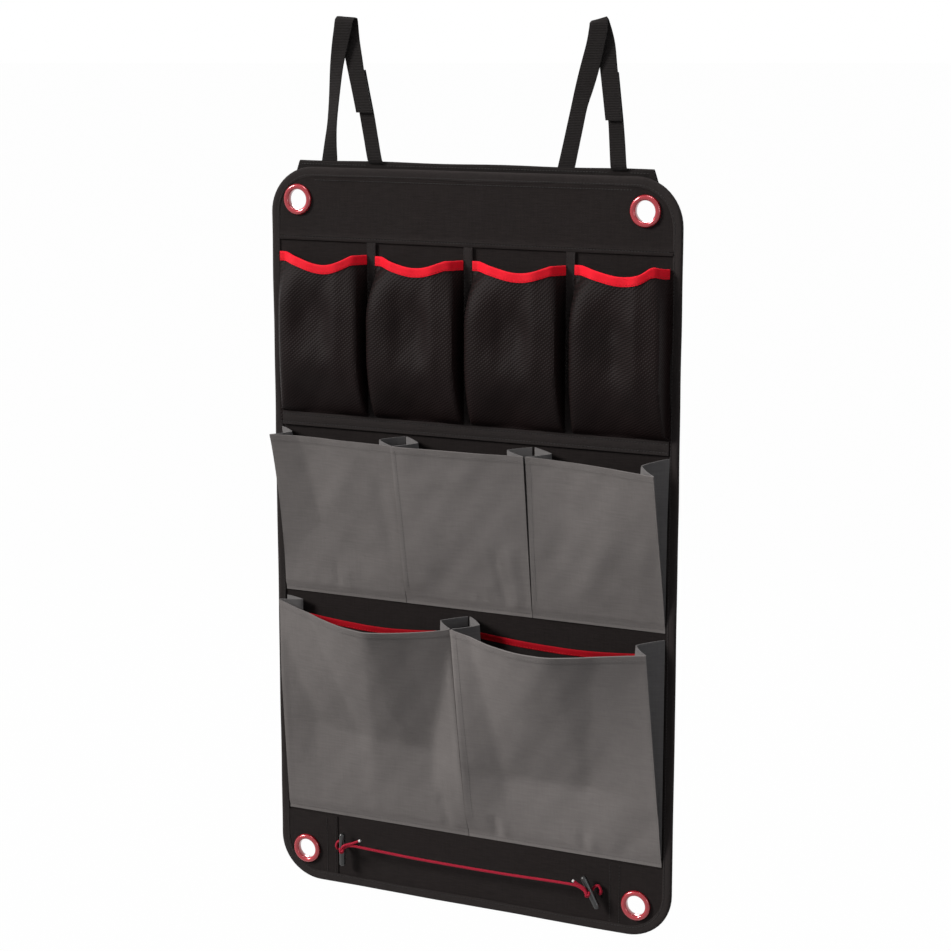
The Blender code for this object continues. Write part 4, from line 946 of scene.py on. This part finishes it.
def facet_field(number):
    """How far forward the facets stand over the pocket's whole front, with softened creases."""
    shares = np.linspace(0, 1, FIELD_SIZE)
    t, s = np.meshgrid(shares, shares, indexing="ij")
    at, level, depth = np.array(LARGE_CREASES[number]).T
    corners = LARGE_CREASES[number] + LARGE_UPPERS[number]
    field, inside = np.zeros_like(t), np.full_like(t, -9.0)
    for facet in LARGE_FACETS[number]:
        (ta, sa, va), (tb, sb, vb), (tc, sc, vc) = (corners[k] for k in facet)
        whole = (tb - ta) * (sc - sa) - (tc - ta) * (sb - sa)
        of_b = ((t - ta) * (sc - sa) - (tc - ta) * (s - sa)) / whole
        of_c = ((tb - ta) * (s - sa) - (t - ta) * (sb - sa)) / whole
        least = np.minimum(np.minimum(of_b, of_c), 1 - of_b - of_c)
        field = np.where(least > inside, va + (vb - va) * of_b + (vc - va) * of_c, field)
        inside = np.maximum(inside, least)
    level = np.interp(t, at, level)
    field = np.where(s < level, np.interp(t, at, depth) * s / level, field)
    weights = np.exp(-0.5 * (np.arange(-FIELD_REACH, FIELD_REACH + 1) / FIELD_SOFTNESS) ** 2)
    weights /= weights.sum()
    for axis in (0, 1):
        padded = np.pad(field, [(FIELD_REACH * (axis == k),) * 2 for k in (0, 1)], mode="edge")
        field = sum(w * np.take(padded, np.arange(FIELD_SIZE) + k, axis) for k, w in enumerate(weights))
    return field


def large_folds(number, t, s):
    """Flat facets that meet at a level crease, under a slack mouth that stands out between its
    corners."""
    field = facet_field(number)
    size = len(field) - 1
    i, j = np.clip(t, 0, 1) * size, np.clip(s, 0, 1) * size
    a, b = np.minimum(i.astype(int), size - 1), np.minimum(j.astype(int), size - 1)
    i, j = i - a, j - b
    out = (field[a, b] * (1 - i) + field[a + 1, b] * i) * (1 - j)
    out += (field[a, b + 1] * (1 - i) + field[a + 1, b + 1] * i) * j
    crease = np.array(LARGE_CREASES[number])
    level = np.interp(t, crease[:, 0], crease[:, 1])
    mouth, skew = LARGE_MOUTHS[number]
    edge = np.minimum(1.0, np.minimum(t, 1 - t) / 0.03)
    return out * edge + mouth * arch(t ** skew) * np.maximum(0.0, (s - level) / (1 - level))


# The folds that show on each front: from and to, in shares of its width and height, their width and
# how far they stand forward in metres
FOLDS = {
    ("small", 0): (
        ((0.62, 1.0), (0.48, 0.55), 0.12, 0.0014), ((0.85, 0.8), (0.93, 0.25), 0.07, -0.0012),
        ((0.43, 0.16), (0.45, 0.0), 0.018, -0.0008), ((0.52, 0.12), (0.55, 0.0), 0.02, 0.0008)),
    ("small", 1): (
        ((0.02, 0.72), (0.62, 0.86), 0.08, 0.0008), ((0.74, 0.34), (0.8, 0.0), 0.03, -0.0009),
        ((0.86, 0.4), (0.9, 0.0), 0.045, 0.0009), ((0.3, 0.45), (0.15, 0.1), 0.09, 0.0008)),
    ("small", 2): (
        ((0.3, 0.75), (0.18, 0.3), 0.1, -0.0012), ((0.72, 0.8), (0.4, 0.1), 0.1, 0.0014),
        ((0.92, 0.55), (0.8, 0.15), 0.07, 0.0008)),
    ("large", 0): (
        ((0.6, 0.62), (0.73, 0.4), 0.014, 0.0005), ((0.63, 0.62), (0.76, 0.4), 0.014, -0.0004),
        ((0.86, 0.15), (0.9, 0.0), 0.022, -0.002)),
    ("large", 1): (
        ((0.14, 0.08), (0.155, -0.02), 0.016, -0.0022), ((0.19, 0.07), (0.2, -0.02), 0.016, 0.001),
        ((0.6, 0.07), (0.615, -0.02), 0.015, -0.0018), ((0.64, 0.06), (0.66, -0.02), 0.015, 0.001),
        ((0.8, 0.0), (1.0, 0.22), 0.05, -0.0012)),
}


def fine_folds(row, number, t, s, x, z):
    """The creases, puckers and slackness that show on each pocket."""
    slack = wander(x, z, 2.1 + number + 3 * (row is LARGE), 0.11, 0.0008)
    out = slack * arch(t) ** 0.5 * rise(0, 0.15, s)
    puckers = np.sin(TAU * (t + 0.02 * np.sin(9 * t + number)) * 9 + number)
    puckers = 0.00022 * puckers * bell(t, 0.4 + 0.3 * number, 0.35)
    out += puckers * (1 - rise(0.02, 0.13, s)) * rise(0, 0.02, s)
    for a, b, width, height in FOLDS[row.name, number]:
        way = np.array(b) - a
        long = float(np.dot(way, way))
        along = ((t - a[0]) * way[0] + (s - a[1]) * way[1]) / long
        off = ((t - a[0]) * way[1] - (s - a[1]) * way[0]) / math.sqrt(long)
        out += height * bell(off, 0, width) * rise(-0.15, 0.15, along) * (1 - rise(0.85, 1.15, along))
    if number == 1:
        out += 0.0015 * (1 - rise(0.008, 0.35, t)) * rise(0, 0.1, s)
    return out


def front_level(row, number, folds, x, s):
    """How far forward a front's cloth stands, always clear of the panel behind it."""
    xa, xb = row.side(number, number, s, GAP), row.side(number, number + 1, s, GAP)
    t = np.clip((x - xa) / (xb - xa), 0, 1)
    plane = row.crease_y(number, s) * (1 - t) + row.crease_y(number + 1, s) * t
    return np.minimum(plane - folds(number, t, s), 0.2 * plane - 0.8 * row.stand)


def front_grid(row, number, folds, columns, shares):
    """The front's cloth with its foot below the seam, one column after the other."""
    t = np.concatenate([[0, 0.008, 0.02, 0.034], np.linspace(0.05, 0.95, columns), [0.966, 0.98, 0.992, 1]])
    tt, ss = np.meshgrid(t, shares, indexing="ij")
    xa, xb = row.side(number, number, ss, GAP), row.side(number, number + 1, ss, GAP)
    x = xa + (xb - xa) * tt
    drop, skew, fullness = row.sags[number]
    sag = drop * arch(tt ** skew) ** fullness
    top = row.tops[number] * (1 - tt) + row.tops[number + 1] * tt
    z = row.seam + (top - row.seam) * ss - sag * ss ** 3
    y = front_level(row, number, folds, x, ss) - fine_folds(row, number, tt, ss, x, z)
    foot = stacked(x[:, :1], -0.0009, row.bottom + np.array([[0.0, 0.002, 0.0042]]))
    return t, np.concatenate([foot, stacked(x, y, z)], axis=1)


def build_fronts(row, folds):
    hem = HEMS[row.name]
    for number in range(row.count):
        height = row.tops[number] - row.seam
        near_top = 1 - np.array([0.0, 0.0012, 0.003, hem - 0.003, hem - 0.0012, hem - 0.0004, hem + 0.0004,
                                 hem + 0.0012, hem + 0.003]) / height
        shares = np.unique(np.concatenate([np.linspace(0, 1 - (hem + 0.006) / height, 44), near_top]))
        t, grid = front_grid(row, number, folds, 44, shares)
        below = (1 - np.concatenate([[-1, -1, -1], shares])) * height
        thick = CLOTH_T + 0.0008 * (1 - rise(hem - 0.0002, hem + 0.0012, below)) * (below < 1)
        thick = thick - 0.0006 * bell(below, hem - 0.0016, 0.0007)
        edge = np.minimum(t, 1 - t) * ROW_W / row.count
        seam = 0.0006 * (1 - rise(0.003, 0.004, edge)) * ((t < 0.5) & (number > 0))
        thick = thick[None, :] + seam[:, None] * (np.arange(grid.shape[1]) > 3)[None, :]
        name = f"{row.name}_{number + 1}"
        # Each front's grey carries painted light and shade in its brightness.
        front = cloth(f"{row.name}_front_cloth_{number + 1}", grid, thick, GREYS[name], 45)
        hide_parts(f"{row.name}_pocket_front_{number + 1}")
        face = grid + normals_of(grid) * (thick / 2)[..., None]
        lines = [(face[:, int(np.argmin(np.abs(below - (hem - 0.0016))))], -1), (face[:, 2], -1)]
        if number:
            lines.append(((face - normals_of(grid) * 0.0001)[3, 6:-1], -1))
        sewn = stitches(f"{row.name}_front_stitches_{number + 1}", lines, GREY_THREAD, GREY_STITCH_R)
        for piece in (front, sewn):
            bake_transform(piece)


def gusset_column(row, number, k, inward, folds, s):
    """One level of a side wall, from the panel to the front's crease, at a share of its height."""
    edge = float(row.side(number, k, s, 2 * GAP))
    foot = row.seam + 0.001
    z_front = foot + (row.tops[k] - row.seam - 0.001) * s
    z_rear = foot + (row.back_top - row.seam - 0.001) * s
    share = (z_front - row.seam) / (row.tops[k] - row.seam)
    front_y = row.crease_y(k, share) + CLOTH_T / 2 + GAP + LINING_T / 2
    rear_y = -GAP - LINING_T / 2
    inset = math.sqrt(max(row.gussets[k] ** 2 - ((rear_y - front_y) / 2) ** 2, 0.00001))
    n = np.linspace(0, 1, 21)
    lean = np.abs(2 * n - 1)
    reach = inset * (1 - (0.86 * lean ** 1.15 + 0.14 * lean ** 3)) - 0.0006 * (1 - lean)
    soft = 0.0006 * np.sin(9 * s + 5 * n + k) * arch(n) * s
    x = edge + inward * (reach + soft * 0.6)
    behind = front_level(row, number, folds, x, np.full(21, share)) + 0.00105 + 0.0012 * (1 - lean)
    y = np.minimum(np.maximum(rear_y + (front_y - rear_y) * n + soft, behind), rear_y)
    return stacked(x, y, z_rear + (z_front - z_rear) * n)


def build_gussets(row, folds):
    """Each side wall, folded inwards along its middle from the back seam to the front crease."""
    rows = np.linspace(0, 1, 36)
    thick = LINING_T + 0.0005 * (rows > 0.955)
    for number in range(row.count):
        for k, inward, side in ((number, 1, "left"), (number + 1, -1, "right")):
            grid = np.array([gusset_column(row, number, k, inward, folds, s) for s in rows])
            end = f"{number + 1}_{side}"
            gusset = cloth(f"{row.name}_side_cloth_{end}", grid, thick[:, None], GREY_LINING, 60)
            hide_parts(f"{row.name}_gusset_{end}")
            Vector((0, float(row.crease_y(k, 1.0)), row.tops[k]))
            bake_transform(gusset)


def inner_surface(number, heights):
    """The cloth of a pocket inside a large one, at shares of its height."""
    xa, xb = LARGE.line(number), LARGE.line(number + 1)
    t = np.linspace(0, 1, 44)[:, None]
    heights = heights[None, :]
    top = INNER_TOP - 0.0009 - INNER_SAGS[number] * arch(t ** 1.25)
    s = np.minimum(1.0, heights / (1 - INNER_TRIM_H / INNER_H))
    inset = 0.006 + 0.029 * (1 - s)
    x = xa + inset + (xb - xa - 2 * inset) * t
    z = INNER_BOTTOM + (top - INNER_BOTTOM) * heights
    belly = arch(t)
    y = -GAP - LINING_T / 2 - 0.0012 * s ** 4 * np.minimum(1.0, t / 0.1) - 0.007 * belly * s ** 2
    y = y - wander(x, z, 9.0 + number, 0.08, 0.0006) * belly * s
    return stacked(x, y, z)


def build_inner_pockets():
    """The black pockets inside the large ones, each with its red trim."""
    for number in range(2):
        name = f"inner_pocket_{number + 1}"
        grid = inner_surface(number, np.linspace(0, 1, 26))
        pocket = on_panel(cloth(f"inner_cloth_{number + 1}", grid, LINING_T, BLACK), "black_fabric", name)
        mouth = inner_surface(number, np.linspace(1 - INNER_TRIM_H / INNER_H, 1, 6))
        # The inner trim's red is darkened with painted shade.
        trim, made_up = add_trim("inner_", number + 1, mouth, LINING_T, INNER_RED_PAINTED_SHADE, INNER_TRIM_FLAT_W, name)


# Cord and toggles

def add_tube(name, path, radius, sides, closed=False):
    return swept(name, tube_rings(path, radius, sides, closed), ELASTIC, closed=closed)


def build_cord():
    left, right = TOGGLE_X["left"], TOGGLE_X["right"]
    run = [
        KNOTS["left"], (left + 0.01, KNOT_Y + 0.001, CORD_Z + 0.0012),
        (left + 0.04, KNOT_Y + 0.002, CORD_Z + 0.0004), (-0.05, KNOT_Y + 0.004, CORD_Z - 0.002),
        (0.04, KNOT_Y + 0.004, CORD_Z - 0.002), (right - 0.04, KNOT_Y + 0.002, CORD_Z + 0.0002),
        (right - 0.01, KNOT_Y + 0.0005, CORD_Z + 0.0004), KNOTS["right"],
    ]
    path = flowing(run, 40)
    curve = bpy.data.curves.new("cord_run", "CURVE")
    curve.dimensions = "3D"
    curve.bevel_depth, curve.bevel_resolution, curve.resolution_u = CORD_R, 4, 6
    curve.use_fill_caps = True
    spline = curve.splines.new("NURBS")
    spline.points.add(len(path) - 1)
    for point, place in zip(spline.points, path):
        point.co = (*place, 1)
    spline.use_endpoint_u = True
    spline.order_u = 4
    curve.materials.append(ELASTIC)
    cord = on_panel(place_object("cord_run", curve), "elastic", "elastic_cord")
    pieces = []
    turn = turns(60)
    loop = stacked(np.sin(turn) + 2 * np.sin(2 * turn), -np.sin(3 * turn) * 1.1,
                   np.cos(turn) - 2 * np.cos(2 * turn)) * 0.00085
    for side, x in TOGGLE_X.items():
        hx, hz = HOLE[side]
        t = 1 if x > hx else -1
        knot, end = np.array(KNOTS[side]), np.array(TAIL_ENDS[side])
        leg = flowing([
            (hx, 0.0053, hz), (hx, 0.0008, hz), (hx, -0.0016, hz), (hx - t * 0.0014, -0.0036, hz + 0.0012),
            (hx - t * 0.0022, -0.0041, hz + 0.005), (hx + t * 0.0008, -0.0041, hz + 0.0098),
            (x - t * 0.0026, -0.0041, hz + 0.0076), (x, -0.0052, TOGGLE_Z), (x, TOGGLE_Y, TOGGLE_Z),
            knot], 80)
        pieces.append(add_tube("cord_leg_" + side, leg, CORD_R, 14))
        tail = flowing([knot, knot + (t * 0.003, -0.0006, 0.0058), knot * 0.35 + end * 0.65 + (0, 0, 0.0012),
                        end], 30)
        pieces.append(add_tube("cord_tail_" + side, tail, CORD_R, 14))
        for name, centre, size in (("front", knot, 1.0), ("rear", np.array((hx, 0.0058, hz)), 0.9)):
            pieces.append(add_tube(f"cord_knot_{name}_{side}", centre + loop * size, CORD_R * 0.92, 12, True))
    for piece in pieces:
        on_panel(piece, "elastic")


def build_toggles():
    """Moulded bars, a little thicker round the cord's hole, with rounded ends and a parting line."""
    ends = np.cos(np.linspace(0, 1.2, 8))
    angle = turns(40)[:, None]
    forward = np.array((0, 1, 0))
    for side, x in TOGGLE_X.items():
        tilt = TOGGLE_TILT[side]
        along = np.array((math.sin(tilt), 0.0, -math.cos(tilt)))
        aside = np.array((math.cos(tilt), 0.0, math.sin(tilt)))
        rings = []
        for share in np.concatenate([-ends, np.linspace(-0.3, 0.3, 9), ends[::-1]]):
            end = min(1.0, (1 - abs(share)) * TOGGLE_L / 2 / 0.0026)
            radius = TOGGLE_R * (0.93 + 0.07 * bell(share, 0, 0.32))
            radius *= math.sqrt(max(0.04, 1 - (1 - end) ** 2))
            centre = np.array((x, TOGGLE_Y, TOGGLE_Z)) + along * share * TOGGLE_L / 2
            seam = 1 + 0.035 * bell(np.sin(angle), 0, 0.1) * (end > 0.99)
            rings.append(centre + radius * seam * (np.cos(angle) * aside + np.sin(angle) * forward))
        bar = swept("toggle_bar_" + side, rings, PLASTIC, smooth=40)
        on_body(bar, "toggle_bar_" + side, "plastic", "toggle_" + side)


def dress_nodes():
    """The hard nodes whose shapes are right, with their materials."""
    finishes = {"sleeve_batten": BATTEN, "cord_tip_left": CLEAR_TIP, "cord_tip_right": CLEAR_TIP}
    finishes.update({"eyelet_washer_" + name: STEEL for name in EYELETS})
    for name, material in finishes.items():
        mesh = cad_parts[name].data
        mesh.materials.clear()
        mesh.materials.append(material)


# Camera, floor and light

CAMERA_TURN, CAMERA_RISE, CAMERA_FAR, CAMERA_LENS = 25.57, 11.067, 2.3966, 86.82
CAMERA_TARGET = (0.0073, 0.0, -0.4664)
FLOOR_Z, FLOOR_SIZE, FLOOR_GLOW = -1.55, 300.0, 0.988
# Name, place, what it is aimed at, size, power and colour
LIGHTS = (
    ("key", (-8.55, -6.3, 5.1), (0, 0, -0.45), 3.9, 1860, (1.0, 0.985, 0.965)),
    ("fill", (3.2, -1.6, 0.3), (0, 0, -0.5), 1.6, 18, (0.92, 0.96, 1.0)),
    ("top", (0.3, -0.3, 2.0), (0, 0, -0.4), 1.2, 26, (1, 1, 1)),
    ("rear", (-1.6, 3.4, 0.6), (0, 0, -0.5), 1.6, 110, (1, 1, 1)),
)


def build_camera():
    azimuth, elevation = math.radians(CAMERA_TURN), math.radians(CAMERA_RISE)
    back = Vector((math.sin(azimuth) * math.cos(elevation), -math.cos(azimuth) * math.cos(elevation),
                   math.sin(elevation)))
    camera = place_object("camera", bpy.data.cameras.new("camera"))
    camera.location = Vector(CAMERA_TARGET) + back * CAMERA_FAR
    camera.rotation_euler = back.to_track_quat("Z", "Y").to_euler()
    camera.data.lens, camera.data.sensor_width = CAMERA_LENS, 36
    camera.data.clip_start, camera.data.clip_end = 0.05, 100
    bpy.context.scene.camera = camera


def background_share(tree):
    """1 for what the camera, a reflection or a clear piece sees, and 0 for light on the object."""
    path = add_node(tree, "LightPath")
    made = path.outputs["Is Camera Ray"]
    for name in ("Is Glossy Ray", "Is Transmission Ray"):
        made = add_node(tree, "Math", made, path.outputs[name], operation="MAXIMUM").outputs[0]
    return made


def build_surroundings():
    """A plain pale room: the object gets little light from it, and the camera sees it white."""
    world = bpy.data.worlds.new("studio")
    bpy.context.scene.world = world
    tree = cleared(world)
    dim = add_node(tree, "Background", Color=(0.96, 0.98, 1.0), Strength=0.1)
    bright = add_node(tree, "Background", Color=(1, 1, 1), Strength=1.0)
    mix = add_node(tree, "MixShader", background_share(tree), dim.outputs[0], bright.outputs[0])
    add_node(tree, "OutputWorld", mix.outputs[0])

    mat = bpy.data.materials.new("floor_pale")
    tree = cleared(mat)
    diffuse = add_node(tree, "BsdfDiffuse", Color=(0.3, 0.3, 0.3))
    glow = add_node(tree, "Emission", Color=(1, 1, 1), Strength=1.0)
    share = add_node(tree, "Math", background_share(tree), FLOOR_GLOW, operation="MULTIPLY")
    mix = add_node(tree, "MixShader", share.outputs[0], diffuse.outputs[0], glow.outputs[0])
    add_node(tree, "OutputMaterial", mix.outputs[0])
    verts = [(x * FLOOR_SIZE, y * FLOOR_SIZE, FLOOR_Z) for x, y in ((-1, -1), (1, -1), (1, 1), (-1, 1))]
    make("floor", verts, [(0, 1, 2, 3)], mat)

    for name, place, aim, size, power, colour in LIGHTS:
        light = bpy.data.lights.new(name, "AREA")
        light.shape, light.size, light.energy, light.color = "DISK", size, power, colour
        lamp = place_object(name, light)
        lamp.location = place
        lamp.rotation_euler = (Vector(place) - Vector(aim)).to_track_quat("Z", "Y").to_euler()
    bpy.context.scene.view_settings.view_transform = "Standard"


build_camera()
build_cord()
build_panel()
build_binding()
build_header()
build_patches()
build_eyelets()
build_sleeve()
build_straps()
build_mesh_pockets()
build_mesh_tapes()
for row, folds in ((SMALL, small_folds), (LARGE, large_folds)):
    build_fronts(row, folds)
for row, folds in ((SMALL, small_folds), (LARGE, large_folds)):
    build_gussets(row, folds)
build_inner_pockets()
build_toggles()
dress_nodes()
build_surroundings()
